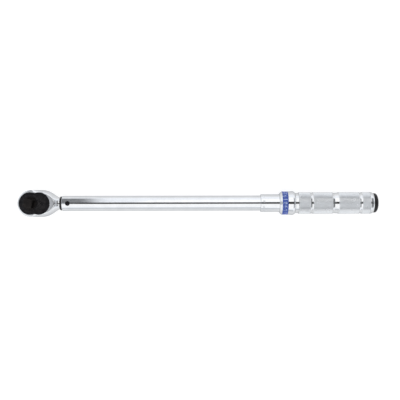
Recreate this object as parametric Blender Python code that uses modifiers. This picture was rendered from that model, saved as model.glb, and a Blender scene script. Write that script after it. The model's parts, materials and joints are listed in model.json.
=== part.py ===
"""A click-type torque wrench with a 1/2 inch square drive, as separate working pieces.

Units are metres. +X runs from the ratchet head to the handle's end cap, +Z is the side of the
square drive, and the wrench lies on z = 0 on its reversing lever and its lock ring. The origin is
the centre of the bounding box's base.

Places along the wrench are given in millimetres times MM. Heights (z) in the head are measured
from the tool's own axis, which lies AXIS_Z above the ground.
"""

import math

import bmesh
import bpy
from mathutils import Matrix, Vector

MM = 0.001
COLLECTION = "torque_wrench"
CUTTERS = "cutters"

# Overall
LENGTH = 530 * MM
HEAD_TIP = -LENGTH / 2
CAP_END = LENGTH / 2
RIDGE_RADIUS = 17.7 * MM
AXIS_Z = RIDGE_RADIUS
FIT = 0.1 * MM
SEAT_GAP = 0.3 * MM

# Ratchet head
HEAD_RADIUS = 19.9 * MM
HEAD_HALF_THICK = 12.0 * MM
HEAD_BEVEL = 1.5 * MM
EYE_X = HEAD_TIP + HEAD_RADIUS
DRIVE_X = HEAD_TIP + 18.5 * MM
TAPER_START = EYE_X + 13.9 * MM
TAPER_RADIUS = 28.0 * MM
TAPER_SLOPE = math.radians(34)
NECK_RADIUS = 8.0 * MM
RECESS_FLOOR = 9.6 * MM
LOBE_RADIUS = 16.3 * MM
LOBE_SPACING = 12.5 * MM
BORE_FLOOR = -8.3 * MM
JOURNAL_RADIUS = 7.0 * MM
JOURNAL_FLOOR = -10.2 * MM

# Ratchet gear and square drive
TEETH = 36
GEAR_TIP = 12.0 * MM
GEAR_ROOT = 11.05 * MM
GEAR_TOP = 9.4 * MM
GEAR_BOTTOM = -8.0 * MM
BOSS_RADIUS = 9.6 * MM
BOSS_TOP = 14.0 * MM
SQUARE = 12.7 * MM
SQUARE_TIP = 28.0 * MM
SQUARE_TURN = math.radians(-12)
DETENT_Z = 21.5 * MM
DETENT_RADIUS = 2.4 * MM
DETENT_PROUD = 0.9 * MM

# Pawl and reversing lever, which turn about one spindle
SPINDLE_X = DRIVE_X + 17.8 * MM
SPINDLE_RADIUS = 3.0 * MM
PAWL_ROCK = math.radians(5.4)
PAWL_TIP = 12.12 * MM
PAWL_BACK = 14.6 * MM
PAWL_SPREAD = math.radians(34)
PAWL_BOTTOM = -7.0 * MM
PAWL_TOP = 8.5 * MM
PAWL_HUB = 5.6 * MM
PAWL_WALL = 4.6 * MM
LEVER_TURN = math.radians(-22)
LEVER_TOP = -(HEAD_HALF_THICK + SEAT_GAP)
DIAL_RADIUS = 10.5 * MM
TAB_RADIUS = 4.0 * MM
TAB_REACH = 15.0 * MM
LEVER_BALL = 1.0 * MM
LEVER_BALL_OUT = 3.35 * MM
LEVER_BALL_Z = 0.75 * MM
SCREW_OFFSET = (19.9 * MM, 10.7 * MM)

# Barrel and click mechanism
PIVOT_X = -191.9 * MM
PIN_RADIUS = 3.4 * MM
TUBE_FRONT = -200.9 * MM
TUBE_REAR = 214 * MM
TUBE_RADIUS = 11.1 * MM
TUBE_BORE = 9.6 * MM
SEAL_FRONT = -204.1 * MM
SEAL_BORE = 8.8 * MM
BLOCK_SIZE = (9.0 * MM, 7.0 * MM, 8.0 * MM)
BLOCK_CHAMFER = 1.0 * MM
BLOCK_X = -141.3 * MM
BLOCK_GAP = 0.6 * MM
SLOT_DEPTH = 1.2 * MM
TANG_RADIUS = 7.2 * MM
PISTON_REAR = -119.0 * MM
SPIGOT_RADIUS = 4.6 * MM
SPIGOT_LENGTH = 8.0 * MM
SPRING_SEAT_X = 62.0 * MM
SEAT_REAR = 108.0 * MM
THRUST_BALL = 3.0 * MM
BALL_POCKET = 2.6 * MM

# Setting scale, screw and handle
SLEEVE_FRONT = 91.3 * MM
SLEEVE_REAR = 212 * MM
SLEEVE_RADIUS = 13.0 * MM
NUT_FRONT = 188 * MM
NUT_PIN_X = 200 * MM
SCREW_RADIUS = 6.0 * MM
SCREW_FRONT = 109.0 * MM
GRIP_FRONT = 131.0 * MM
NECK_END = 147.0 * MM
GRIP_NECK = 14.86 * MM
GRIP_RADIUS = 16.1 * MM
GRIP_BORE = 13.3 * MM
GRIP_REAR = 257.4 * MM
GRIP_GROOVES = ((164.4 * MM, 168.4 * MM), (196.6 * MM, 205.9 * MM), (235.9 * MM, 240.1 * MM))
GROOVE_RADIUS = 15.5 * MM
FLANGE_FRONT = 236.3 * MM
FLANGE_REAR = 240.0 * MM
STUD_RADIUS = 5.0 * MM
CAP_RADIUS = 14.4 * MM
CAP_SHOULDER = 259.5 * MM

# Lock ring
RING_FRONT = 118.9 * MM
RING_REAR = 142.2 * MM
BAND_FRONT = 122.7 * MM
BAND_REAR = 131.3 * MM
BAND_RADIUS = 17.3 * MM
BAND_FLOOR = 16.75 * MM
RING_BORE = 15.0 * MM
LOCK_BALL = 1.2 * MM
LOCK_BALL_X = 137.4 * MM

ROUND = 32


# ---------------------------------------------------------------- scene helpers


def clear_scene():
    for obj in list(bpy.data.objects):
        bpy.data.objects.remove(obj)


def collection(name):
    found = bpy.data.collections.get(name)
    if found is None:
        found = bpy.data.collections.new(name)
        bpy.context.scene.collection.children.link(found)
    return found


def material(name, colour, roughness, metallic):
    made = bpy.data.materials.get(name)
    if made is None:
        made = bpy.data.materials.new(name)
        made.use_nodes = True
        shader = made.node_tree.nodes["Principled BSDF"]
        shader.inputs["Base Color"].default_value = (*colour, 1)
        shader.inputs["Roughness"].default_value = roughness
        shader.inputs["Metallic"].default_value = metallic
    return made


def chrome():
    return material("polished_chrome", (0.86, 0.87, 0.88), 0.12, 1.0)


def satin():
    return material("satin_steel", (0.72, 0.73, 0.74), 0.35, 1.0)


def steel():
    return material("bright_steel", (0.62, 0.62, 0.63), 0.3, 1.0)


def black_steel():
    return material("black_steel", (0.03, 0.03, 0.032), 0.4, 0.6)


def black_plastic():
    return material("black_plastic", (0.02, 0.02, 0.022), 0.45, 0.0)


def rubber():
    return material("black_rubber", (0.025, 0.025, 0.025), 0.7, 0.0)


def blue():
    return material("blue_enamel", (0.07, 0.12, 0.5), 0.35, 0.0)


def add_object(name, data, where, made_of=None):
    obj = bpy.data.objects.new(name, data)
    collection(where).objects.link(obj)
    if made_of is not None:
        data.materials.append(made_of)
    return obj


def as_cutter(obj):
    """Moves a helper solid to the cutters, where it isn't rendered."""
    for holder in list(obj.users_collection):
        holder.objects.unlink(obj)
    collection(CUTTERS).objects.link(obj)
    obj.hide_render = True
    obj.display_type = "WIRE"
    return obj


def boolean(obj, other, operation="DIFFERENCE"):
    modifier = obj.modifiers.new(operation.lower(), "BOOLEAN")
    modifier.operation = operation
    modifier.object = as_cutter(other)
    modifier.solver = "EXACT"


def along(axis, centre):
    """The matrix that lays a shape made about local Z along a world axis, through centre. Upright
    shapes are also turned a little, so that their seams don't fall on the tool's middle plane."""
    turns = {
        "X": Matrix.Rotation(math.pi / 2, 4, "Y"),
        "Y": Matrix.Rotation(-math.pi / 2, 4, "X"),
        "Z": Matrix.Rotation(math.radians(3.1), 4, "Z"),
    }
    return Matrix.Translation(Vector(centre)) @ turns[axis]


ON_AXIS = (0.0, 0.0, AXIS_Z)
ON_DRIVE = (DRIVE_X, 0.0, AXIS_Z)
ON_SPINDLE = (SPINDLE_X, 0.0, AXIS_Z)
ON_PIVOT = (PIVOT_X, 0.0, AXIS_Z)


# ---------------------------------------------------------------- shape helpers


def turned(name, profile, made_of=None, axis="X", centre=ON_AXIS, steps=ROUND):
    """A turned solid. Its profile lists (place on the axis, radius) down the outer side, from the
    far end to the near end, and then back along the bore. It is closed unless it ends on the axis."""
    mesh = bpy.data.meshes.new(name)
    shape = bmesh.new()
    verts = [shape.verts.new((radius, 0, place)) for place, radius in profile]
    for first, second in zip(verts, verts[1:]):
        shape.edges.new((first, second))
    if profile[-1][1] > 0:
        shape.edges.new((verts[-1], verts[0]))
    shape.to_mesh(mesh)
    shape.free()
    obj = add_object(name, mesh, COLLECTION, made_of)
    obj.matrix_world = along(axis, centre)
    screw = obj.modifiers.new("turn", "SCREW")
    screw.axis = "Z"
    screw.steps = steps
    screw.render_steps = steps
    screw.use_merge_vertices = True
    screw.merge_threshold = 1e-6
    screw.use_smooth_shade = True
    return obj


def rod(name, low, high, radius, made_of=None, axis="X", centre=ON_AXIS, steps=ROUND):
    profile = [(high, 0), (high, radius), (low, radius), (low, 0)]
    return turned(name, profile, made_of, axis, centre, steps)


def ring(name, low, high, inner, outer, made_of=None, axis="X", centre=ON_AXIS, steps=ROUND):
    profile = [(high, outer), (low, outer), (low, inner), (high, inner)]
    return turned(name, profile, made_of, axis, centre, steps)


def ball(name, radius, centre, made_of):
    mesh = bpy.data.meshes.new(name)
    shape = bmesh.new()
    bmesh.ops.create_uvsphere(shape, u_segments=16, v_segments=8, radius=radius)
    shape.to_mesh(mesh)
    shape.free()
    mesh.shade_smooth()
    obj = add_object(name, mesh, COLLECTION, made_of)
    obj.location = centre
    return obj


def block(name, low, high, made_of=None):
    """A box between two corners, whose heights are measured from the tool's axis."""
    low, high = Vector(low), Vector(high)
    mesh = bpy.data.meshes.new(name)
    shape = bmesh.new()
    bmesh.ops.create_cube(shape, size=1)
    bmesh.ops.scale(shape, vec=high - low, verts=shape.verts)
    shape.to_mesh(mesh)
    shape.free()
    obj = add_object(name, mesh, COLLECTION, made_of)
    obj.location = (low + high) / 2 + Vector((0, 0, AXIS_Z))
    return obj


def bevel(obj, width, segments=1, angle=math.radians(40)):
    modifier = obj.modifiers.new("edges", "BEVEL")
    modifier.width = width
    modifier.segments = segments
    modifier.limit_method = "ANGLE"
    modifier.angle_limit = angle


def slab(name, outline, low, high, made_of=None, centre=ON_AXIS, edge=0.0):
    """A flat outline given as (x, y) about centre, between two heights, with rounded edges."""
    curve = bpy.data.curves.new(name, "CURVE")
    curve.dimensions = "2D"
    curve.fill_mode = "BOTH"
    curve.extrude = (high - low) / 2 - edge
    curve.bevel_depth = edge
    curve.bevel_resolution = 1
    curve.offset = -edge
    spline = curve.splines.new("POLY")
    spline.points.add(len(outline) - 1)
    for point, (x, y) in zip(spline.points, outline):
        point.co = (x, y, 0, 1)
    spline.use_cyclic_u = True
    drawn = add_object(name, curve, COLLECTION)
    drawn.location = Vector(centre) + Vector((0, 0, (low + high) / 2))
    return solid_of(drawn, made_of)


def solid_of(drawn, made_of):
    """Turns a curve object into a mesh object of the same name, with its caps welded on."""
    bpy.context.view_layer.update()
    graph = bpy.context.evaluated_depsgraph_get()
    mesh = bpy.data.meshes.new_from_object(drawn.evaluated_get(graph))
    shape = bmesh.new()
    shape.from_mesh(mesh)
    bmesh.ops.remove_doubles(shape, verts=shape.verts, dist=1e-6)
    bmesh.ops.recalc_face_normals(shape, faces=shape.faces)
    shape.to_mesh(mesh)
    shape.free()
    mesh.materials.clear()
    name, place = drawn.name, drawn.matrix_world.copy()
    bpy.data.objects.remove(drawn)
    obj = add_object(name, mesh, COLLECTION, made_of)
    obj.matrix_world = place
    return obj


def arc(radius, start, end, count, centre=(0.0, 0.0)):
    """Points of an arc, ends included, with angles in radians."""
    points = []
    for i in range(count + 1):
        angle = start + (end - start) * i / count
        points.append((centre[0] + radius * math.cos(angle), centre[1] + radius * math.sin(angle)))
    return points


def spring(name, low, high, mean, wire, active, points, made_of, axis="X", centre=ON_AXIS, sides=1):
    """A compression spring whose end turns lie closed, between two places on its axis."""
    closed_turns = 1.0
    turns = active + 2 * closed_turns
    pitch = 2.1 * wire
    free = (high - low) - 2 * wire - 2 * closed_turns * pitch
    count = int(turns * points)
    curve = bpy.data.curves.new(name, "CURVE")
    curve.dimensions = "3D"
    curve.bevel_depth = wire
    curve.bevel_resolution = sides
    curve.use_fill_caps = True
    spline = curve.splines.new("POLY")
    spline.points.add(count)
    for i in range(count + 1):
        turn = turns * i / count
        climb = min(turn, closed_turns) + max(0.0, turn - closed_turns - active)
        middle = min(max(turn - closed_turns, 0.0), active) / active
        along_axis = low + wire + climb * pitch + middle * free
        angle = 2 * math.pi * turn
        spline.points[i].co = (mean * math.cos(angle), mean * math.sin(angle), along_axis, 1)
    drawn = add_object(name, curve, COLLECTION)
    drawn.matrix_world = along(axis, centre)
    return solid_of(drawn, made_of)


# ---------------------------------------------------------------- ratchet head


def two_lobes(radius):
    """The outline of two overlapping circles, round the drive's axis and LOBE_SPACING further on."""
    meet = math.acos(LOBE_SPACING / 2 / radius)
    left = arc(radius, meet, 2 * math.pi - meet, 20)
    right = arc(radius, meet - math.pi, math.pi - meet, 20, (LOBE_SPACING, 0.0))
    return left + right[1:-1]


def gear_outline(grow=0.0):
    """A symmetrical ratchet gear. grow makes every tooth that much larger all round."""
    pitch = 2 * math.pi / TEETH
    flat = 0.1 * pitch + grow / GEAR_TIP
    foot = 0.42 * pitch + grow / GEAR_ROOT
    points = []
    for i in range(TEETH):
        middle = i * pitch
        for radius, half in ((GEAR_ROOT, -foot), (GEAR_TIP, -flat), (GEAR_TIP, flat), (GEAR_ROOT, foot)):
            angle = middle + half
            points.append(((radius + grow) * math.cos(angle), (radius + grow) * math.sin(angle)))
    return points


def ratchet_head():
    """The forged head: a flat-faced eye whose taper, turned about the tool's axis, bends into a
    cone, a round neck, and the tang that reaches back into the barrel."""
    neck_cut = -205.0 * MM
    eye = arc(HEAD_RADIUS, math.pi / 2, 3 * math.pi / 2, 20, (EYE_X - PIVOT_X, 0.0))
    eye += [(neck_cut - PIVOT_X, -HEAD_RADIUS), (neck_cut - PIVOT_X, HEAD_RADIUS)]
    head = slab("ratchet_head", eye, -HEAD_HALF_THICK, HEAD_HALF_THICK, chrome(), ON_PIVOT, HEAD_BEVEL)

    taper_top = HEAD_RADIUS - TAPER_RADIUS
    bend = arc(TAPER_RADIUS, math.pi / 2 - TAPER_SLOPE, math.pi / 2, 6, (TAPER_START, taper_top))
    ogive_end = neck_cut + 1 * MM
    end_radius = bend[0][1] - (ogive_end - bend[0][0]) * math.tan(TAPER_SLOPE)
    ogive = [(ogive_end, 0), (ogive_end, end_radius), *bend]
    ogive += [(TAPER_START - 15 * MM, 25 * MM), (HEAD_TIP - 5 * MM, 25 * MM), (HEAD_TIP - 5 * MM, 0)]
    boolean(head, turned("head_taper", ogive), "INTERSECT")

    tang_end = BLOCK_X - BLOCK_SIZE[0] / 2 - BLOCK_GAP + SLOT_DEPTH
    spine = [
        (tang_end, 0),
        (tang_end, TANG_RADIUS - 0.6 * MM),
        (tang_end - 0.6 * MM, TANG_RADIUS),
        (PIVOT_X + 8.4 * MM, TANG_RADIUS),
        (PIVOT_X + 6.4 * MM, 9.2 * MM),
        (PIVOT_X - 6.4 * MM, 9.2 * MM),
        (PIVOT_X - 7.4 * MM, NECK_RADIUS),
        (-214 * MM, NECK_RADIUS),
        (-214 * MM, 0),
    ]
    boolean(head, turned("head_tang", spine), "UNION")

    above = HEAD_HALF_THICK + 3 * MM
    boolean(head, slab("cover_recess", two_lobes(LOBE_RADIUS + FIT), RECESS_FLOOR, above, centre=ON_DRIVE))
    pocket = [
        (above, 0),
        (above, GEAR_TIP + 0.35 * MM),
        (BORE_FLOOR, GEAR_TIP + 0.35 * MM),
        (BORE_FLOOR, JOURNAL_RADIUS + 0.2 * MM),
        (JOURNAL_FLOOR, JOURNAL_RADIUS + 0.2 * MM),
        (JOURNAL_FLOOR, 0),
    ]
    boolean(head, turned("gear_bore", pocket, axis="Z", centre=ON_DRIVE))
    pawl_room = (DRIVE_X + 14.9 * MM, 0, AXIS_Z)
    boolean(head, rod("pawl_pocket", -8.0 * MM, above + 1 * MM, 9.6 * MM, axis="Z", centre=pawl_room))
    boolean(head, rod("spindle_bore", -15 * MM, 0, SPINDLE_RADIUS + 0.15 * MM, None, "Z", ON_SPINDLE, 24))
    for side in (-1, 1):
        hole = (DRIVE_X + SCREW_OFFSET[0], side * SCREW_OFFSET[1], AXIS_Z)
        boolean(head, rod("screw_hole", 3.5 * MM, above + 2 * MM, 1.3 * MM, None, "Z", hole, 12))
    boolean(head, rod("pin_hole", -13 * MM, 13 * MM, PIN_RADIUS + FIT, None, "Z", ON_PIVOT, 32))
    floor = tang_end - SLOT_DEPTH
    boolean(head, block("block_slot", (floor, -12 * MM, -4.3 * MM), (floor + 9 * MM, 12 * MM, 4.3 * MM)))


def cover_plate():
    """The black plate over the gear and the pawl, with holes for the drive, spindle and screws."""
    top = HEAD_HALF_THICK + 0.2 * MM
    plate = slab("cover_plate", two_lobes(LOBE_RADIUS), RECESS_FLOOR + FIT, top, black_steel(), ON_DRIVE)
    boolean(plate, rod("boss_hole", 5 * MM, 20 * MM, BOSS_RADIUS + 0.3 * MM, axis="Z", centre=ON_DRIVE))
    boolean(plate, rod("spindle_hole", 5 * MM, 20 * MM, 2.6 * MM, None, "Z", ON_SPINDLE, 24))
    for side in (-1, 1):
        hole = (DRIVE_X + SCREW_OFFSET[0], side * SCREW_OFFSET[1], AXIS_Z)
        sink = [
            (top + 1 * MM, 0),
            (top + 1 * MM, 3.4 * MM),
            (top - 1.1 * MM, 1.3 * MM),
            (5 * MM, 1.3 * MM),
            (5 * MM, 0),
        ]
        boolean(plate, turned("countersink", sink, None, "Z", hole, 20))


def cover_screws():
    """Two countersunk screws that hold the cover plate."""
    top = HEAD_HALF_THICK + 0.1 * MM
    profile = [(top, 0), (top, 2.2 * MM), (top - 1.1 * MM, 1.15 * MM), (4 * MM, 1.15 * MM), (4 * MM, 0)]
    for name, side in (("cover_screw_left", 1), ("cover_screw_right", -1)):
        place = (DRIVE_X + SCREW_OFFSET[0], side * SCREW_OFFSET[1], AXIS_Z)
        turned(name, profile, black_steel(), "Z", place, 20)


def drive_gear():
    """The ratchet gear, its round boss and journal, and the square that the socket fits."""
    gear = slab("drive_gear", gear_outline(), GEAR_BOTTOM, GEAR_TOP, black_steel(), ON_DRIVE)
    groove = BOSS_RADIUS - 0.7 * MM
    shaft = [
        (BOSS_TOP, 0),
        (BOSS_TOP, BOSS_RADIUS - 0.4 * MM),
        (BOSS_TOP - 0.4 * MM, BOSS_RADIUS),
        (13.35 * MM, BOSS_RADIUS),
        (13.35 * MM, groove),
        (12.35 * MM, groove),
        (12.35 * MM, BOSS_RADIUS),
        (-7.0 * MM, BOSS_RADIUS),
        (-7.0 * MM, JOURNAL_RADIUS),
        (JOURNAL_FLOOR + SEAT_GAP, JOURNAL_RADIUS),
        (JOURNAL_FLOOR + SEAT_GAP, 0),
    ]
    boolean(gear, turned("drive_shaft", shaft, axis="Z", centre=ON_DRIVE), "UNION")
    half = SQUARE / 2
    square = block("drive_square", (-half, -half, BOSS_TOP - 1 * MM), (half, half, SQUARE_TIP))
    square.location.x = DRIVE_X
    square.rotation_euler.z = SQUARE_TURN
    bevel(square, 1.0 * MM, 2)
    boolean(gear, square, "UNION")
    hole = rod("detent_hole", -1.0 * MM, 8 * MM, DETENT_RADIUS + 0.15 * MM, None, "Y", (0, 0, 0), 20)
    hole.matrix_world = detent_place() @ hole.matrix_world
    boolean(gear, hole)


def detent_place():
    """The frame of the detent: its +Y points out of one face of the square."""
    return Matrix.Translation((DRIVE_X, 0, AXIS_Z + DETENT_Z)) @ Matrix.Rotation(SQUARE_TURN, 4, "Z")


def detent():
    """The ball that clips into a socket, and the spring behind it."""
    out = SQUARE / 2 + DETENT_PROUD - DETENT_RADIUS
    ball("detent_ball", DETENT_RADIUS, detent_place() @ Vector((0, out, 0)), steel())
    seat = out - DETENT_RADIUS - FIT
    coil = spring("detent_spring", -0.7 * MM, seat, 1.6 * MM, 0.28 * MM, 2.5, 8, steel(), "Y", (0, 0, 0))
    coil.matrix_world = detent_place() @ coil.matrix_world


def drive_clip():
    """The open snap ring that holds the drive in the cover plate."""
    clip = ring("drive_clip", 12.45 * MM, 13.25 * MM, 9.0 * MM, 11.1 * MM, steel(), "Z", ON_DRIVE)
    gap = block("clip_gap", (0, -1.4 * MM, 12 * MM), (13 * MM, 1.4 * MM, 14 * MM))
    gap.location.x += DRIVE_X
    boolean(clip, gap)


def pawl():
    """A two-armed pawl. The gear's own outline cuts its teeth: the upper arm's as it lies in mesh,
    and the lower arm's as it would lie after rocking to the other side."""
    sector = arc(PAWL_BACK, -PAWL_SPREAD, PAWL_SPREAD, 12)
    sector += arc(PAWL_TIP, PAWL_SPREAD, -PAWL_SPREAD, 24)
    rocked = Matrix.Translation(ON_SPINDLE) @ Matrix.Rotation(PAWL_ROCK, 4, "Z")
    from_spindle = Matrix.Translation((DRIVE_X - SPINDLE_X, 0, 0))
    arms = slab("pawl", sector, PAWL_BOTTOM, PAWL_TOP, black_steel(), (0, 0, 0))
    arms.matrix_world = rocked @ from_spindle @ arms.matrix_world
    below, above = PAWL_BOTTOM - 1 * MM, PAWL_TOP + 1 * MM
    boolean(arms, slab("mesh_cut", gear_outline(0.12 * MM), below, above, centre=ON_DRIVE))
    other = slab("other_mesh_cut", gear_outline(0.12 * MM), below, above, centre=(0, 0, 0))
    twice = Matrix.Translation(ON_SPINDLE) @ Matrix.Rotation(2 * PAWL_ROCK, 4, "Z")
    other.matrix_world = twice @ from_spindle @ other.matrix_world
    boolean(arms, other)

    hub = rod("pawl_hub", PAWL_BOTTOM, PAWL_TOP, PAWL_HUB, axis="Z", centre=ON_SPINDLE, steps=32)
    bore = SPINDLE_RADIUS + 0.15 * MM
    boolean(hub, rod("pawl_bore", below, above, bore, None, "Z", ON_SPINDLE, 20))
    tall, wide = 1.5 * MM, 2.8 * MM
    low = (0, -wide, LEVER_BALL_Z - tall)
    window = block("ball_window", low, (PAWL_WALL, wide, LEVER_BALL_Z + tall))
    window.matrix_world = rocked @ Matrix.Translation((PAWL_WALL / 2, 0, LEVER_BALL_Z))
    boolean(hub, window)
    boolean(arms, hub, "UNION")


def lever_place():
    """The lever's frame: +X points along its tab, at the setting for tightening."""
    return Matrix.Translation(ON_SPINDLE) @ Matrix.Rotation(LEVER_TURN, 4, "Z")


def reverse_lever():
    """The reversing lever: a thumb dial with a tab, and the spindle that carries the pawl."""
    tangent = math.acos((DIAL_RADIUS - TAB_RADIUS) / TAB_REACH)
    outline = arc(DIAL_RADIUS, tangent, 2 * math.pi - tangent, 28)
    outline += arc(TAB_RADIUS, -tangent, tangent, 8, (TAB_REACH, 0.0))
    lever = slab("reverse_lever", outline, -AXIS_Z, LEVER_TOP, black_steel(), (0, 0, 0), 0.6 * MM)
    lever.matrix_world = lever_place() @ lever.matrix_world
    top = HEAD_HALF_THICK + 0.1 * MM
    spindle = [
        (top, 0),
        (top, 2.4 * MM),
        (RECESS_FLOOR - 0.2 * MM, 2.4 * MM),
        (RECESS_FLOOR - 0.2 * MM, SPINDLE_RADIUS),
        (LEVER_TOP - 2 * MM, SPINDLE_RADIUS),
        (LEVER_TOP - 2 * MM, 0),
    ]
    boolean(lever, turned("spindle", spindle, None, "Z", ON_SPINDLE, 24), "UNION")
    hole = rod("ball_hole", 0.0, 5 * MM, LEVER_BALL + FIT, None, "X", (0, 0, LEVER_BALL_Z), 12)
    hole.matrix_world = lever_place() @ hole.matrix_world
    boolean(lever, hole)


def lever_detent():
    """The ball and spring in the spindle that press the pawl to one side or the other."""
    place = lever_place()
    ball("lever_ball", LEVER_BALL, place @ Vector((LEVER_BALL_OUT, 0, LEVER_BALL_Z)), steel())
    start = (0, 0, LEVER_BALL_Z)
    end = LEVER_BALL_OUT - LEVER_BALL - 0.05 * MM
    coil = spring("lever_spring", 0.1 * MM, end, 0.7 * MM, 0.15 * MM, 2.5, 8, steel(), "X", start, 0)
    coil.matrix_world = place @ coil.matrix_world


# ---------------------------------------------------------------- barrel and click mechanism


def barrel_tube():
    """The chromed tube that everything is built into."""
    profile = [
        (TUBE_REAR, TUBE_RADIUS),
        (TUBE_FRONT + 1.2 * MM, TUBE_RADIUS),
        (TUBE_FRONT + 0.35 * MM, TUBE_RADIUS - 0.35 * MM),
        (TUBE_FRONT, TUBE_RADIUS - 1.0 * MM),
        (TUBE_FRONT, TUBE_BORE),
        (TUBE_REAR, TUBE_BORE),
    ]
    tube = turned("barrel_tube", profile, chrome())
    boolean(tube, rod("tube_pin_hole", -13 * MM, 13 * MM, PIN_RADIUS + FIT, None, "Z", ON_PIVOT, 32))
    nut_pin_hole = (NUT_PIN_X, 0, AXIS_Z)
    boolean(tube, rod("tube_nut_hole", -13 * MM, 13 * MM, 1.6 * MM, None, "Z", nut_pin_hole, 16))


def dust_seal():
    """The rubber seal between the neck and the mouth of the tube."""
    flange = TUBE_FRONT - 0.1 * MM
    profile = [
        (TUBE_FRONT + 1.9 * MM, TUBE_BORE - FIT),
        (flange, TUBE_BORE - FIT),
        (flange, 10.3 * MM),
        (SEAL_FRONT + 0.7 * MM, 10.3 * MM),
        (SEAL_FRONT, 9.6 * MM),
        (SEAL_FRONT, SEAL_BORE),
        (TUBE_FRONT + 1.9 * MM, SEAL_BORE),
    ]
    turned("dust_seal", profile, rubber())


def pivot_pin():
    """The pin that the head swings on, with chamfered ends just below the tube's surface."""
    end = 10.7 * MM
    profile = [
        (end, 0),
        (end, PIN_RADIUS - 0.5 * MM),
        (end - 0.5 * MM, PIN_RADIUS),
        (-end + 0.5 * MM, PIN_RADIUS),
        (-end, PIN_RADIUS - 0.5 * MM),
        (-end, 0),
    ]
    turned("pivot_pin", profile, black_steel(), "Z", ON_PIVOT, 32)


def trip_block():
    """The block that tips over between tang and piston when the set torque is reached."""
    half = Vector(BLOCK_SIZE) / 2
    place = Vector((BLOCK_X, 0, 0))
    made = block("trip_block", place - half, place + half, steel())
    bevel(made, BLOCK_CHAMFER)


def spring_piston():
    """The piston that the main spring pushes against the trip block."""
    floor = BLOCK_X + BLOCK_SIZE[0] / 2 + BLOCK_GAP
    front = floor - SLOT_DEPTH
    radius = TUBE_BORE - 0.3 * MM
    profile = [
        (PISTON_REAR + SPIGOT_LENGTH, 0),
        (PISTON_REAR + SPIGOT_LENGTH, SPIGOT_RADIUS - 0.6 * MM),
        (PISTON_REAR + SPIGOT_LENGTH - 0.6 * MM, SPIGOT_RADIUS),
        (PISTON_REAR, SPIGOT_RADIUS),
        (PISTON_REAR, radius),
        (front + 0.6 * MM, radius),
        (front, radius - 0.6 * MM),
        (front, 0),
    ]
    piston = turned("spring_piston", profile, steel())
    boolean(piston, block("piston_slot", (floor - 9 * MM, -12 * MM, -4.3 * MM), (floor, 12 * MM, 4.3 * MM)))


def main_spring():
    low, high = PISTON_REAR + SEAT_GAP, SPRING_SEAT_X - SEAT_GAP
    spring("main_spring", low, high, 6.9 * MM, 1.8 * MM, 15, 8, steel(), sides=0)


def spring_seat():
    """The long seat behind the main spring, with a pocket for the thrust ball."""
    radius = TUBE_BORE - 0.3 * MM
    profile = [
        (SEAT_REAR, THRUST_BALL + 0.3 * MM),
        (SEAT_REAR, 7.5 * MM),
        (SPRING_SEAT_X + 6 * MM, 7.5 * MM),
        (SPRING_SEAT_X + 6 * MM, radius),
        (SPRING_SEAT_X, radius),
        (SPRING_SEAT_X, SPIGOT_RADIUS),
        (SPRING_SEAT_X - SPIGOT_LENGTH, SPIGOT_RADIUS),
        (SPRING_SEAT_X - SPIGOT_LENGTH, 0),
    ]
    profile = [
        (SEAT_REAR - BALL_POCKET, 0),
        (SEAT_REAR - BALL_POCKET, THRUST_BALL + 0.3 * MM),
        *profile,
    ]
    turned("spring_seat", profile, steel())


def thrust_ball():
    centre = SEAT_REAR - BALL_POCKET + THRUST_BALL + FIT
    ball("thrust_ball", THRUST_BALL, (centre, 0, AXIS_Z), steel())


# ---------------------------------------------------------------- setting screw and handle


def adjusting_nut():
    """The fixed nut in the tube's rear end, and the two pins that hold it there."""
    nut = ring("adjusting_nut", NUT_FRONT, TUBE_REAR - 2 * MM, SCREW_RADIUS + FIT, TUBE_BORE - FIT, steel())
    place = (NUT_PIN_X, 0, AXIS_Z)
    boolean(nut, rod("nut_pin_hole", -13 * MM, 13 * MM, 1.6 * MM, None, "Z", place, 16))
    low, high = 7.2 * MM, TUBE_RADIUS - 0.2 * MM
    rod("upper_nut_pin", low, high, 1.5 * MM, black_steel(), "Z", place, 16)
    rod("lower_nut_pin", -high, -low, 1.5 * MM, black_steel(), "Z", place, 16)


def adjusting_screw():
    """The setting screw: a ball pocket in its nose, a plain cylinder that stands for the thread,
    and a stud for the handle."""
    stud_end = 248.5 * MM
    shoulder = FLANGE_FRONT - 0.2 * MM
    pocket = THRUST_BALL + 0.3 * MM
    profile = [
        (stud_end, 0),
        (stud_end, STUD_RADIUS),
        (shoulder, STUD_RADIUS),
        (shoulder, SCREW_RADIUS),
        (SCREW_FRONT, SCREW_RADIUS),
        (SCREW_FRONT, pocket),
        (SCREW_FRONT + BALL_POCKET, pocket),
        (SCREW_FRONT + BALL_POCKET, 0),
    ]
    turned("adjusting_screw", profile, steel(), steps=24)


def scale_sleeve():
    """The sleeve on the tube that carries the setting scale and guides the handle."""
    chamfer = 0.6 * MM
    profile = [
        (SLEEVE_REAR, SLEEVE_RADIUS),
        (SLEEVE_FRONT + chamfer, SLEEVE_RADIUS),
        (SLEEVE_FRONT, SLEEVE_RADIUS - chamfer),
        (SLEEVE_FRONT, TUBE_RADIUS + FIT),
        (SLEEVE_REAR, TUBE_RADIUS + FIT),
    ]
    turned("scale_sleeve", profile, chrome())


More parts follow.
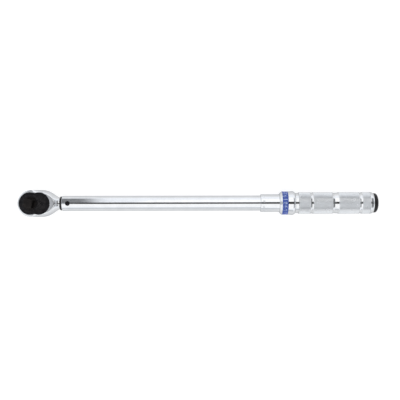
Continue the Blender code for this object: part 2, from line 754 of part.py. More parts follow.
def grip():
    """The handle: a knurled steel sleeve with three turned grooves and a smooth front neck."""
    wall = 0.4 * MM
    outer = [(GRIP_REAR, 14.6 * MM), (GRIP_REAR - 1.6 * MM, 15.6 * MM), (GRIP_REAR - 3.4 * MM, GRIP_RADIUS)]
    for low, high in reversed(GRIP_GROOVES):
        outer += [(high, GRIP_RADIUS), (high - wall, GROOVE_RADIUS)]
        outer += [(low + wall, GROOVE_RADIUS), (low, GRIP_RADIUS)]
    outer += [
        (NECK_END + wall, GRIP_RADIUS),
        (NECK_END, GRIP_RADIUS - wall),
        (NECK_END, GRIP_NECK),
        (GRIP_FRONT, GRIP_NECK),
    ]
    stud_hole = STUD_RADIUS + 0.2 * MM
    bore = [
        (GRIP_FRONT, GRIP_BORE),
        (FLANGE_FRONT, GRIP_BORE),
        (FLANGE_FRONT, stud_hole),
        (FLANGE_REAR, stud_hole),
        (FLANGE_REAR, GRIP_BORE + FIT),
        (GRIP_REAR, GRIP_BORE + FIT),
    ]
    handle = turned("grip", outer + bore, satin())
    holes = (LOCK_BALL_X, 0, AXIS_Z)
    boolean(handle, rod("lock_ball_holes", -16 * MM, 16 * MM, LOCK_BALL + FIT, None, "Y", holes, 16))


def handle_nut():
    """The hexagon nut that clamps the setting screw to the handle."""
    outline = arc(8.66 * MM, 0, 2 * math.pi * 5 / 6, 5)
    low, high = FLANGE_REAR + 0.2 * MM, FLANGE_REAR + 6.7 * MM
    nut = slab("handle_nut", outline, low, high, steel(), (0, 0, 0))
    nut.matrix_world = along("X", ON_AXIS) @ nut.matrix_world
    boolean(nut, rod("stud_hole", low - 1 * MM, high + 1 * MM, STUD_RADIUS + FIT, steps=24))


def end_cap():
    """The domed plastic cap, a cup whose skirt plugs into the handle."""
    depth = CAP_END - CAP_SHOULDER
    dome = []
    for i in range(7):
        angle = math.pi / 2 * i / 6
        bulge = 2 / 2.4
        place = CAP_SHOULDER + depth * math.cos(angle) ** bulge
        dome.append((place, CAP_RADIUS * math.sin(angle) ** bulge))
    rim = GRIP_REAR + 0.2 * MM
    skirt_end, plug, inside = 249.5 * MM, GRIP_BORE - FIT, 11.4 * MM
    profile = dome + [
        (rim, CAP_RADIUS),
        (rim, plug),
        (skirt_end, plug),
        (skirt_end, inside),
        (CAP_SHOULDER - 0.5 * MM, inside),
        (CAP_SHOULDER + 1.5 * MM, inside - 3 * MM),
        (CAP_SHOULDER + 2 * MM, 0),
    ]
    turned("end_cap", profile, black_plastic())


# ---------------------------------------------------------------- lock ring


def lock_ring():
    """The sprung ring that locks the setting: its cone presses two balls on to the sleeve."""
    ridge = (RING_FRONT + 19 * MM, RIDGE_RADIUS)
    outer = [
        (RING_REAR, RING_BORE + 0.2 * MM),
        (RING_REAR - 1 * MM, 16.5 * MM),
        (RING_REAR - 2.6 * MM, 17.4 * MM),
        ridge,
        (ridge[0] - 1.5 * MM, 17.6 * MM),
        (ridge[0] - 3.6 * MM, 17.2 * MM),
        (BAND_REAR, 17.1 * MM),
        (BAND_REAR, BAND_FLOOR),
        (BAND_FRONT, BAND_FLOOR),
        (BAND_FRONT, 17.1 * MM),
        (RING_FRONT + 1.9 * MM, 15.8 * MM),
        (RING_FRONT, 13.9 * MM),
    ]
    lip = SLEEVE_RADIUS + 0.3 * MM
    cone_wide, cone_narrow = 131.7 * MM, 138.6 * MM
    bore = [
        (RING_FRONT, lip),
        (RING_FRONT + 1.5 * MM, lip),
        (RING_FRONT + 1.5 * MM, RING_BORE),
        (cone_wide, RING_BORE),
        (cone_wide, 16.1 * MM),
        (cone_narrow, 15.5 * MM),
        (cone_narrow, RING_BORE),
        (RING_REAR, RING_BORE),
    ]
    turned("lock_ring", outer + bore, chrome())


def index_band():
    """The blue band in the lock ring's groove, which carries the fine scale."""
    ring("index_band", BAND_FRONT + FIT, BAND_REAR - FIT, BAND_FLOOR + FIT, BAND_RADIUS, blue())


def lock_spring():
    low, high = RING_FRONT + 1.6 * MM, GRIP_FRONT - 0.1 * MM
    spring("lock_spring", low, high, 14.15 * MM, 0.5 * MM, 3, 12, steel(), sides=0)


def lock_balls():
    """Two balls in the handle's neck, one on each side."""
    reach = SLEEVE_RADIUS + 0.05 * MM + LOCK_BALL
    for name, side in (("lock_ball_left", 1), ("lock_ball_right", -1)):
        ball(name, LOCK_BALL, (LOCK_BALL_X, side * reach, AXIS_Z), steel())


def main():
    clear_scene()
    ratchet_head()
    cover_plate()
    cover_screws()
    drive_gear()
    detent()
    drive_clip()
    pawl()
    reverse_lever()
    lever_detent()
    barrel_tube()
    dust_seal()
    pivot_pin()
    trip_block()
    spring_piston()
    main_spring()
    spring_seat()
    thrust_ball()
    adjusting_nut()
    adjusting_screw()
    scale_sleeve()
    grip()
    handle_nut()
    end_cap()
    lock_ring()
    index_band()
    lock_spring()
    lock_balls()


main()
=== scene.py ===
import json
from math import acos, cos, hypot, pi, radians, sin, tan

import bmesh
import bpy
import numpy as np
from mathutils import Matrix, Vector


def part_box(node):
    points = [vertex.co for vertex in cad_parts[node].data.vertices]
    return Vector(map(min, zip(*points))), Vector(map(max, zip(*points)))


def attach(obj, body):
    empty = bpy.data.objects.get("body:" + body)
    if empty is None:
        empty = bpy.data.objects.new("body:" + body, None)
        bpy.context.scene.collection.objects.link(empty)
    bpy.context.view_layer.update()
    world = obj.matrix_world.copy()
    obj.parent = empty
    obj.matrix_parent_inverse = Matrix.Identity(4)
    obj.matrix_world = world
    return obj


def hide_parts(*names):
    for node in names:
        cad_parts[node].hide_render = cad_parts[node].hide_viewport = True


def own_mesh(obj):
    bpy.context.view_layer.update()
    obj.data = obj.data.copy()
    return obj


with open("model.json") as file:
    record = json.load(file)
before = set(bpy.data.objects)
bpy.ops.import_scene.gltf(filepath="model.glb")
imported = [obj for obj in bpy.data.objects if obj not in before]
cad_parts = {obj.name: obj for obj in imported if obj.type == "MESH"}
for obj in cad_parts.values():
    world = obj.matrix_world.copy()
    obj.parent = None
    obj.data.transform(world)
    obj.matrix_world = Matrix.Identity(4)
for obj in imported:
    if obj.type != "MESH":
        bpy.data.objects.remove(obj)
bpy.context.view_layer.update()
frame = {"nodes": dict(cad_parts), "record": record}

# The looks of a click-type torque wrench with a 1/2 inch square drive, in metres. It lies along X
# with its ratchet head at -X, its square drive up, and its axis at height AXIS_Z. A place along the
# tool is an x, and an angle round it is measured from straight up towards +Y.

MM = 0.001
DRIVE_FROM_TIP = 18.5 * MM
SPINDLE_FROM_DRIVE = 17.8 * MM
LEVER_GAP = 0.3 * MM


# ---- places read from the frame


def span(node, axis):
    """The low and high end of a CAD node along one axis."""
    low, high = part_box(node)
    return low["xyz".index(axis)], high["xyz".index(axis)]


def half_width(node, axis="y"):
    """Half of a CAD node's size along one axis, which is its radius if it is round."""
    low, high = span(node, axis)
    return (high - low) / 2


TUBE_FRONT, TUBE_REAR = span("barrel_tube", "x")
TUBE_RADIUS = half_width("barrel_tube")
AXIS_Z = sum(span("barrel_tube", "z")) / 2
PIVOT_X = sum(span("pivot_pin", "x")) / 2
PIN_RADIUS = half_width("pivot_pin", "x")
SLEEVE_FRONT, SLEEVE_REAR = span("scale_sleeve", "x")
SLEEVE_RADIUS = half_width("scale_sleeve")
RING_FRONT, RING_REAR = span("lock_ring", "x")
BAND_FRONT, BAND_REAR = span("index_band", "x")
BAND_RADIUS = half_width("index_band")
RIDGE_RADIUS = half_width("lock_ring")
GRIP_FRONT, GRIP_REAR = span("grip", "x")
GRIP_RADIUS = half_width("grip")
CAP_FRONT, CAP_REAR = span("end_cap", "x")
CAP_RADIUS = half_width("end_cap")
SEAL_FRONT, SEAL_REAR = span("dust_seal", "x")
SEAL_RADIUS = half_width("dust_seal")
HEAD_TIP, TANG_END = span("ratchet_head", "x")
HEAD_RADIUS = half_width("ratchet_head")
HALF_THICK = half_width("ratchet_head", "z")
EYE_X = HEAD_TIP + HEAD_RADIUS
DRIVE_X = HEAD_TIP + DRIVE_FROM_TIP
SQUARE_TIP = span("drive_gear", "z")[1]
SPINDLE_X = DRIVE_X + SPINDLE_FROM_DRIVE
LEVER_TOP = AXIS_Z - HALF_THICK - LEVER_GAP

ON_AXIS = Vector((0, 0, AXIS_Z))
ON_DRIVE = Vector((DRIVE_X, 0, AXIS_Z))
ON_SPINDLE = Vector((SPINDLE_X, 0, AXIS_Z))
LEVER_BALL_LEVEL = ON_SPINDLE + Vector((0, 0, 0.75 * MM))
ON_PIVOT = Vector((PIVOT_X, 0, AXIS_Z))

NECK_RADIUS = 8.0 * MM
TUBE_BORE = 9.6 * MM
BOSS_RADIUS = 9.6 * MM
BOSS_TOP = 14.0 * MM
SQUARE = 12.7 * MM
SQUARE_TURN = radians(-12)
DETENT_Z = 21.5 * MM
LOBE_RADIUS = 16.3 * MM
LOBE_SPACING = 12.5 * MM
SCREW_OFFSET = (19.9 * MM, 10.7 * MM)
LEVER_TURN = radians(-22)
TAPER_START = EYE_X + 13.9 * MM
TAPER_RADIUS = 28.0 * MM
TAPER_SLOPE = radians(34)
GRIP_GROOVES = ((164.4 * MM, 168.4 * MM), (196.6 * MM, 205.9 * MM), (235.9 * MM, 240.1 * MM))
NECK_END = 147.0 * MM
THREAD_PITCH = 2.5 * MM
SETTING_TRAVEL = 20 * MM
RING_PULL = 4.5 * MM
DETENT_STROKE = 0.9 * MM
LEVER_STROKE = 0.4 * MM
SPRING_CLEAR = 0.5 * MM
SHARP = 32


# ---- materials


def fill(node, **values):
    """Sets a node's inputs, each named with _ in place of a space."""
    for key, value in values.items():
        node.inputs[key.replace("_", " ")].default_value = value
    return node


class Nodes:
    """The nodes of a new material or world, with short ways to add the few kinds used here."""

    def __init__(self, name, kind=None):
        self.owner = (bpy.data.materials if kind is None else kind).new(name)
        self.owner.use_nodes = True
        self.tree = self.owner.node_tree
        self.shader = self.tree.nodes.get("Principled BSDF")

    def add(self, kind, **settings):
        node = self.tree.nodes.new(kind)
        for key, value in settings.items():
            setattr(node, key, value)
        return node

    def link(self, output, socket):
        self.tree.links.new(output, socket)

    def noise(self, scale, detail=3.0, stretch=(1, 1, 1)):
        place = self.add("ShaderNodeTexCoord")
        mapping = fill(self.add("ShaderNodeMapping"), Scale=stretch)
        texture = fill(self.add("ShaderNodeTexNoise"), Scale=scale, Detail=detail, Roughness=0.55)
        self.link(place.outputs["Object"], mapping.inputs["Vector"])
        self.link(mapping.outputs["Vector"], texture.inputs["Vector"])
        return texture.outputs["Fac"]

    def maths(self, operation, first, second=None):
        node = self.add("ShaderNodeMath", operation=operation)
        self.link(first, node.inputs[0])
        if second is not None:
            self.link(second, node.inputs[1])
        return node.outputs[0]

    def between(self, factor, low, high, start=0.3, end=0.7):
        node = self.add("ShaderNodeMapRange")
        fill(node, From_Min=start, From_Max=end, To_Min=low, To_Max=high)
        self.link(factor, node.inputs["Value"])
        return node.outputs["Result"]

    def ramp(self, factor, low, high, start=0.3, end=0.7):
        node = self.add("ShaderNodeValToRGB")
        first, last = node.color_ramp.elements
        first.position, first.color = start, (*low, 1)
        last.position, last.color = end, (*high, 1)
        self.link(factor, node.inputs["Fac"])
        return node.outputs["Color"]

    def mix(self, factor, first, second):
        node = self.add("ShaderNodeMix", data_type="RGBA")
        self.link(factor, node.inputs["Factor"])
        self.link(first, node.inputs["A"])
        self.link(second, node.inputs["B"])
        return node.outputs["Result"]

    def bump(self, height, strength, distance):
        node = fill(self.add("ShaderNodeBump"), Strength=strength, Distance=distance)
        self.link(height, node.inputs["Height"])
        if self.shader.inputs["Normal"].is_linked:
            before = self.shader.inputs["Normal"].links[0].from_socket
            self.link(before, node.inputs["Normal"])
        self.link(node.outputs["Normal"], self.shader.inputs["Normal"])

    def colour(self, output):
        self.link(output, self.shader.inputs["Base Color"])

    def roughness(self, output):
        self.link(output, self.shader.inputs["Roughness"])


def plated(name, low, high, rough, stretch, wave, scratch):
    """Chrome or bare steel: cloudy plating, fine hairlines along stretch, and a slight waviness."""
    made = Nodes(name)
    fill(made.shader, Metallic=1.0, Specular_Tint=(0.62, 0.63, 0.645, 1))
    made.colour(made.ramp(made.noise(70, 4), low, high))
    cloud = made.between(made.noise(160, 5), *rough)
    hairs = made.between(made.noise(900, 2, stretch), 0.0, 0.05, 0.62, 0.75)
    made.roughness(made.maths("ADD", cloud, hairs))
    made.bump(made.noise(45, 2), wave, 0.4 * MM)
    made.bump(made.noise(1600, 2, stretch), scratch, 0.02 * MM)
    return made.owner


def dark_metal(name, low, high, worn, rough, grain):
    """Black oxide on steel: mottled, finely grained, and rubbed brighter on its edges."""
    made = Nodes(name)
    fill(made.shader, Metallic=0.85, Specular_Tint=(0.25, 0.24, 0.23, 1))
    mottle = made.ramp(made.noise(220, 5), low, high)
    edge = made.between(made.add("ShaderNodeNewGeometry").outputs["Pointiness"], 0.0, 1.0, 0.53, 0.62)
    rubbed = made.ramp(made.noise(500, 4), low, worn, 0.45, 0.6)
    made.colour(made.mix(edge, mottle, rubbed))
    made.roughness(made.between(made.noise(300, 4), *rough))
    made.bump(made.noise(2500, 3), grain, 0.03 * MM)
    return made.owner


def moulded(name, low, high, rough, grain, scale):
    """Moulded plastic or rubber, and enamel: a fine skin with a little unevenness in its gloss."""
    made = Nodes(name)
    made.colour(made.ramp(made.noise(120, 4), low, high))
    fill(made.shader, Specular_IOR_Level=0.25)
    made.roughness(made.between(made.noise(260, 4), *rough))
    made.bump(made.noise(scale, 3), grain, 0.05 * MM)
    return made.owner


ROUND_HAIRS = (1, 0.06, 0.06)
LONG_HAIRS = (0.05, 1, 1)
EVEN = (1, 1, 1)
CHROME = plated("chrome_plate", (0.60, 0.61, 0.625), (0.65, 0.66, 0.675), (0.05, 0.10),
                LONG_HAIRS, 0.02, 0.03)
FORGED = plated("forged_chrome", (0.58, 0.59, 0.605), (0.64, 0.65, 0.665), (0.16, 0.26),
                EVEN, 0.10, 0.10)
SATIN = plated("satin_knurl", (0.59, 0.60, 0.61), (0.64, 0.65, 0.66), (0.26, 0.34),
               ROUND_HAIRS, 0.02, 0.12)
TURNED = plated("turned_steel", (0.58, 0.59, 0.60), (0.65, 0.66, 0.67), (0.10, 0.18),
                ROUND_HAIRS, 0.02, 0.15)
STEEL = plated("bright_steel", (0.50, 0.50, 0.51), (0.66, 0.66, 0.67), (0.22, 0.36),
               ROUND_HAIRS, 0.03, 0.15)
OXIDE = dark_metal("black_oxide", (0.010, 0.010, 0.011), (0.022, 0.022, 0.024),
                   (0.11, 0.10, 0.10), (0.32, 0.48), 0.2)
DRIVE = dark_metal("drive_steel", (0.012, 0.011, 0.011), (0.026, 0.023, 0.022),
                   (0.08, 0.07, 0.065), (0.30, 0.44), 0.2)
PLASTIC = moulded("cap_plastic", (0.003, 0.003, 0.0035), (0.006, 0.006, 0.007), (0.30, 0.42), 0.15, 1800)
RUBBER = moulded("seal_rubber", (0.010, 0.010, 0.010), (0.022, 0.022, 0.022), (0.55, 0.75), 0.3, 900)
BLUE = moulded("blue_enamel", (0.036, 0.072, 0.30), (0.046, 0.088, 0.35), (0.22, 0.34), 0.06, 700)
FIGURES = moulded("figure_paint", (0.60, 0.71, 0.93), (0.68, 0.78, 0.97), (0.40, 0.55), 0.1, 900)
INK = moulded("scale_ink", (0.012, 0.012, 0.014), (0.03, 0.03, 0.032), (0.45, 0.60), 0.1, 900)


# ---- mesh helpers


def add_object(name, data):
    """A new object in the scene with this mesh, curve or camera."""
    obj = bpy.data.objects.new(name, data)
    bpy.context.scene.collection.objects.link(obj)
    return obj


def add_mesh(name, verts, faces, look, sharp=SHARP):
    """A smooth-shaded object whose edges are sharp where they turn by more than sharp degrees."""
    mesh = bpy.data.meshes.new(name)
    mesh.from_pydata([tuple(v) for v in verts], [], faces)
    mesh.validate()
    mesh.materials.append(look)
    tidy_normals(mesh, sharp)
    return add_object(name, mesh)


def tidy_normals(mesh, sharp):
    """Merges points that coincide and makes every face look outwards."""
    shape = bmesh.new()
    shape.from_mesh(mesh)
    bmesh.ops.remove_doubles(shape, verts=shape.verts, dist=1e-7)
    bmesh.ops.recalc_face_normals(shape, faces=shape.faces)
    shape.to_mesh(mesh)
    shape.free()
    mesh.shade_smooth()
    mesh.set_sharp_from_angle(angle=radians(sharp))


def frame_of(axis, centre):
    """The matrix that lays a shape made about local Z along a world axis, through centre. A shape
    along X has its angle 0 straight up."""
    turns = {
        "X": Matrix(((0, 0, 1, 0), (0, 1, 0, 0), (1, 0, 0, 0), (0, 0, 0, 1))),
        "Y": Matrix(((1, 0, 0, 0), (0, 0, 1, 0), (0, -1, 0, 0), (0, 0, 0, 1))),
        "Z": Matrix.Identity(4),
    }
    return Matrix.Translation(centre) @ turns[axis]


def turned(centre, angle):
    """The matrix that turns a shape about local Z and then carries it to centre."""
    return Matrix.Translation(centre) @ Matrix.Rotation(angle, 4, "Z")


def soften(corners, points=5):
    """A profile whose corners, given as (place, radius, rounding in mm), are rounded off."""
    count = len(corners)
    line = []
    for i, (place, radius, size) in enumerate(corners):
        here = np.array((place, radius))
        before = np.array(corners[i - 1][:2]) - here
        after = np.array(corners[(i + 1) % count][:2]) - here
        reach = min(size * MM, np.linalg.norm(before) * 0.45, np.linalg.norm(after) * 0.45)
        if reach < 0.02 * MM:
            line.append(tuple(here))
            continue
        start = here + before / np.linalg.norm(before) * reach
        end = here + after / np.linalg.norm(after) * reach
        for k in range(points + 1):
            t = k / points
            spot = (1 - t) ** 2 * start + 2 * t * (1 - t) * here + t**2 * end
            line.append((float(spot[0]), max(0.0, float(spot[1]))))
    return line


def lathe(name, profile, look, axis="X", centre=ON_AXIS, steps=144, sharp=SHARP, swell=None):
    """A solid of revolution from a closed profile of (place, radius) points. swell may change a
    point's radius: it takes arrays of places, radii and angles and returns the new radii."""
    places = np.array([p[0] for p in profile])
    radii = np.array([p[1] for p in profile])
    angles = np.arange(steps) * 2 * pi / steps
    place_grid, angle_grid = np.meshgrid(places, angles, indexing="ij")
    radius_grid = np.meshgrid(radii, angles, indexing="ij")[0]
    if swell is not None:
        radius_grid = swell(place_grid, radius_grid, angle_grid)
    verts = np.stack(
        (radius_grid * np.cos(angle_grid), radius_grid * np.sin(angle_grid), place_grid), axis=-1
    ).reshape(-1, 3)
    rows = len(profile)
    faces = []
    for i in range(rows):
        above = (i + 1) % rows
        if radii[i] <= 0 and radii[above] <= 0:
            continue
        for j in range(steps):
            k = (j + 1) % steps
            faces.append((i * steps + j, i * steps + k, above * steps + k, above * steps + j))
    matrix = np.array(frame_of(axis, centre))
    verts = verts @ matrix[:3, :3].T + matrix[:3, 3]
    return add_mesh(name, verts, faces, look, sharp)


def bands(rows, count, first=0):
    """The faces between rows + 1 rings of count points each."""
    faces = []
    for a in range(first, first + rows * count, count):
        for i in range(count):
            k = (i + 1) % count
            faces.append((a + i, a + k, a + count + k, a + count + i))
    return faces


def prism(name, rings, look, centre, sharp=SHARP):
    """A solid through flat outlines with the same number of points: rings lists (height, outline)."""
    count = len(rings[0][1])
    verts = [(x, y, height) for height, outline in rings for x, y in outline]
    faces = bands(len(rings) - 1, count)
    faces.append(tuple(range(count))[::-1])
    faces.append(tuple(range((len(rings) - 1) * count, len(rings) * count)))
    obj = add_mesh(name, verts, faces, look, sharp)
    obj.data.transform(Matrix.Translation(centre))
    return obj


def cut(obj, *tools):
    """Cuts each tool out of obj and removes the tools."""
    for tool in tools:
        modifier = obj.modifiers.new("cut", "BOOLEAN")
        modifier.operation = "DIFFERENCE"
        modifier.object = tool
        modifier.solver = "EXACT"
        bpy.context.view_layer.update()
        graph = bpy.context.evaluated_depsgraph_get()
        made = bpy.data.meshes.new_from_object(obj.evaluated_get(graph))
        obj.modifiers.clear()
        obj.data = made
        bpy.data.objects.remove(tool)
    look = obj.data.materials[0]
    obj.data.materials.clear()
    obj.data.materials.append(look)
    for polygon in obj.data.polygons:
        polygon.material_index = 0
    obj.data.shade_smooth()
    obj.data.set_sharp_from_angle(angle=radians(SHARP))
    return obj


def plug(low, high, radius, centre, axis="Z", steps=64):
    """A plain cylinder to cut with."""
    return lathe("plug", [(high, 0), (high, radius), (low, radius), (low, 0)], STEEL, axis, centre, steps)


def arc(radius, start, end, count, centre=(0.0, 0.0)):
    """Points along a flat arc, both ends included."""
    angles = [start + (end - start) * i / count for i in range(count + 1)]
    return [(centre[0] + radius * cos(a), centre[1] + radius * sin(a)) for a in angles]


def place(obj, body, slot, *nodes):
    """Says which body a piece rides on and hides the CAD nodes that it stands for. slot is not used."""
    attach(obj, body)
    if nodes:
        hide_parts(*nodes)
    return obj


# ---- ratchet head


def rounded_and(first, second, radius):
    """The distance to the overlap of two shapes, with a rounded edge where they meet."""
    inner = np.minimum(np.maximum(first + radius, second + radius), 0)
    outer = np.hypot(np.maximum(first + radius, 0), np.maximum(second + radius, 0))
    return inner + outer - radius


def smooth_join(first, second, size):
    """The distance to two shapes joined, with a hollow of this size where they meet."""
    blend = np.clip(0.5 + 0.5 * (second - first) / size, 0, 1)
    return second * (1 - blend) + first * blend - size * blend * (1 - blend)


def head_distance(points):
    """How far points lie outside the forging: a round-nosed eye with flat faces, a taper turned
    about the tool's axis, and a round neck."""
    x, y, z = points.T
    widening = 24
    around = np.hypot(y, z)
    sides = np.where(x < EYE_X, np.hypot(x - EYE_X, y), np.abs(y)) - HEAD_RADIUS
    faces = np.abs(z) - HALF_THICK
    past = x - TAPER_START
    centre = TAPER_RADIUS - HEAD_RADIUS
    bend = np.hypot(np.maximum(past, 0), around + centre) - TAPER_RADIUS
    cone = past * sin(TAPER_SLOPE) + (around + centre) * cos(TAPER_SLOPE) - TAPER_RADIUS
    taper = np.where(past > (around + centre) * tan(TAPER_SLOPE), cone, bend)
    taper = np.where(past > 0, taper, around - HEAD_RADIUS - widening * past**2)
    edge = np.interp(past, (0, 12 * MM), (1.8 * MM, 0.5 * MM))
    eye = rounded_and(np.maximum(sides, taper), faces, edge)
    neck = np.maximum(around - NECK_RADIUS, EYE_X - x)
    return smooth_join(eye, neck, 2.0 * MM)


def skin(starts, ways):
    """Where rays from inside the forging leave it, found by halving the reach again and again."""
    starts, ways = np.array(starts), np.array(ways)
    near, far = np.zeros(len(starts)), np.full(len(starts), 60 * MM)
    for _ in range(36):
        middle = (near + far) / 2
        inside = head_distance(starts + ways * middle[:, None]) < 0
        near = np.where(inside, middle, near)
        far = np.where(inside, far, middle)
    return starts + ways * near[:, None]


def forging():
    """The forging before it is cut: half-turn columns of points round the nose, then whole rings
    from the eye's middle to the neck's end."""
    rows, columns, stations = 120, 110, 130
    rise = [pi * (i / rows - 0.5) for i in range(rows + 1)]
    half = [(cos(lift), sin(lift)) for lift in rise]
    starts, ways, faces = [], [], []
    for j in range(columns + 1):
        turn = pi * j / columns
        starts += [(EYE_X, 0, 0)] * len(half)
        ways += [(-c * sin(turn), c * cos(turn), s) for c, s in half]
    for j in range(columns):
        for i in range(rows):
            a = j * (rows + 1) + i
            faces.append((a, a + 1, a + rows + 2, a + rows + 1))
    first = len(starts)
    around = half + [(-c, s) for c, s in reversed(half[1:-1])]
    reach = SEAL_FRONT - 0.5 * MM - EYE_X
    for j in range(stations + 1):
        starts += [(EYE_X + reach * j / stations, 0, 0)] * len(around)
        ways += [(0, c, s) for c, s in around]
    faces += bands(stations, len(around), first)
    faces.append(tuple(range(len(starts) - len(around), len(starts))))
    head = add_mesh("head_forging", skin(starts, ways), faces, FORGED)
    head.data.transform(Matrix.Translation(ON_AXIS))
    return head


def forged_head():
    """The forging, with the cover's recess, the gear's and spindle's bores and the pawl's room."""
    above = HALF_THICK + 3 * MM
    lobes = two_lobes(LOBE_RADIUS + 0.12 * MM)
    recess = prism("recess", [(9.6 * MM, lobes), (above, lobes)], STEEL, ON_DRIVE)
    gear_bore = plug(-8.3 * MM, above, 12.35 * MM, ON_DRIVE)
    journal = plug(-10.2 * MM, -8 * MM, 7.2 * MM, ON_DRIVE)
    pawl_room = plug(-8.0 * MM, above + 1 * MM, 9.6 * MM, ON_DRIVE + Vector((14.9 * MM, 0, 0)))
    spindle = plug(-15 * MM, 0, 3.15 * MM, ON_SPINDLE)
    return cut(forging(), recess, gear_bore, journal, pawl_room, spindle)


def two_lobes(radius, points=60):
    """The figure-eight outline of the cover, about the drive's axis."""
    meet = acos(LOBE_SPACING / 2 / radius)
    left = arc(radius, meet, 2 * pi - meet, points)
    right = arc(radius, meet - pi, pi - meet, points, (LOBE_SPACING, 0.0))
    return left + right[1:-1]


def head_tang():
    """The round shank that carries the head's pivot and reaches back to the trip block."""
    front = SEAL_FRONT - 1.0 * MM
    corners = (
        (TANG_END, 0, 0),
        (TANG_END, 7.2 * MM, 0.6),
        (PIVOT_X + 8.4 * MM, 7.2 * MM, 1),
        (PIVOT_X + 6.4 * MM, 9.2 * MM, 1),
        (PIVOT_X - 6.4 * MM, 9.2 * MM, 1),
        (PIVOT_X - 7.4 * MM, NECK_RADIUS, 1),
        (front, NECK_RADIUS, 0),
        (front, 0, 0),
    )
    tang = lathe("head_tang", soften(corners), FORGED, steps=96)
    floor = TANG_END - 1.2 * MM
    slot = box("slot", (floor, -12 * MM, -4.3 * MM), (floor + 9 * MM, 12 * MM, 4.3 * MM), STEEL)
    return cut(tang, plug(-13 * MM, 13 * MM, PIN_RADIUS + 0.1 * MM, ON_PIVOT), slot)


def from_bmesh(name, shape, look):
    """An object made from a bmesh, with smooth shading."""
    mesh = bpy.data.meshes.new(name)
    shape.to_mesh(mesh)
    shape.free()
    mesh.materials.append(look)
    mesh.shade_smooth()
    return add_object(name, mesh)


def box(name, low, high, look):
    """A box between two corners, whose heights are measured from the tool's axis."""
    low, high = Vector(low), Vector(high)
    shape = bmesh.new()
    bmesh.ops.create_cube(shape, size=1)
    bmesh.ops.scale(shape, vec=high - low, verts=shape.verts)
    bmesh.ops.translate(shape, vec=(low + high) / 2 + ON_AXIS, verts=shape.verts)
    obj = from_bmesh(name, shape, look)
    obj.data.set_sharp_from_angle(angle=radians(SHARP))
    return obj


def screw_place(side):
    """Where a cover screw stands, on the side +1 or -1."""
    return ON_DRIVE + Vector((SCREW_OFFSET[0], side * SCREW_OFFSET[1], 0))


def cover_plate():
    """The black figure-eight plate, with a rounded edge, a raised collar round the drive's bore and
    countersunk holes."""
    low, top = 9.7 * MM, 12.2 * MM
    rings = [(low, two_lobes(LOBE_RADIUS))]
    for k in range(6):
        angle = pi / 2 * k / 5
        inset = 0.5 * MM * (1 - cos(angle))
        rings.append((top - 0.5 * MM * (1 - sin(angle)), two_lobes(LOBE_RADIUS - inset)))
    plate = prism("figure_eight_cover", rings, OXIDE, ON_DRIVE)
    below, above, shank = 5 * MM, 20 * MM, 1.3 * MM
    tools = [plug(below, above, BOSS_RADIUS + 0.3 * MM, ON_DRIVE)]
    tools.append(plug(below, above, 2.6 * MM, ON_SPINDLE))
    for side in (-1, 1):
        sink = [(top + 1 * MM, 0), (top + 1 * MM, 3.4 * MM), (top - 1.1 * MM, shank)]
        sink += [(below, shank), (below, 0)]
        tools.append(lathe("sink", sink, STEEL, "Z", screw_place(side), 48))
    return cut(plate, *tools)


def cover_screw(name, side):
    """A countersunk screw with a cross recess."""
    top = HALF_THICK + 0.1 * MM
    corners = (
        (top, 0, 0),
        (top, 2.2 * MM, 0.25),
        (top - 1.1 * MM, 1.15 * MM, 0),
        (4 * MM, 1.15 * MM, 0.3),
        (4 * MM, 0, 0),
    )
    spot = screw_place(side)
    screw = lathe(name, soften(corners), OXIDE, "Z", spot, 48)
    tools = []
    for turn in (0.6, 0.6 + pi / 2):
        low = (-1.3 * MM, -0.24 * MM, top - 0.7 * MM)
        slot = box("slot", low, (1.3 * MM, 0.24 * MM, top + 1 * MM), STEEL)
        slot.data.transform(turned(spot, turn) @ Matrix.Translation(-ON_AXIS))
        tools.append(slot)
    return cut(screw, *tools)


def drive_gear():
    """The ratchet gear's teeth, as an extruded outline."""
    teeth, tip, root = 36, 12.0 * MM, 11.05 * MM
    pitch = 2 * pi / teeth
    outline = []
    for i in range(teeth):
        for radius, half in ((root, -0.42), (tip, -0.1), (tip, 0.1), (root, 0.42)):
            angle = (i + half) * pitch
            outline.append((radius * cos(angle), radius * sin(angle)))
    return prism("gear_teeth", [(-8.0 * MM, outline), (9.4 * MM, outline)], STEEL, ON_DRIVE)


def drive_boss():
    """The round boss under the square, with the groove for its snap ring, and the rear journal."""
    groove = BOSS_RADIUS - 0.7 * MM
    corners = (
        (BOSS_TOP, 0, 0),
        (BOSS_TOP, BOSS_RADIUS, 0.7),
        (13.35 * MM, BOSS_RADIUS, 0.1),
        (13.35 * MM, groove, 0.1),
        (12.35 * MM, groove, 0.1),
        (12.35 * MM, BOSS_RADIUS, 0.1),
        (-8.1 * MM, BOSS_RADIUS, 0.3),
        (-8.1 * MM, 7.0 * MM, 0.2),
        (-9.9 * MM, 7.0 * MM, 0.4),
        (-9.9 * MM, 0, 0),
    )
    return lathe("drive_boss", soften(corners), DRIVE, "Z", ON_DRIVE, 120)


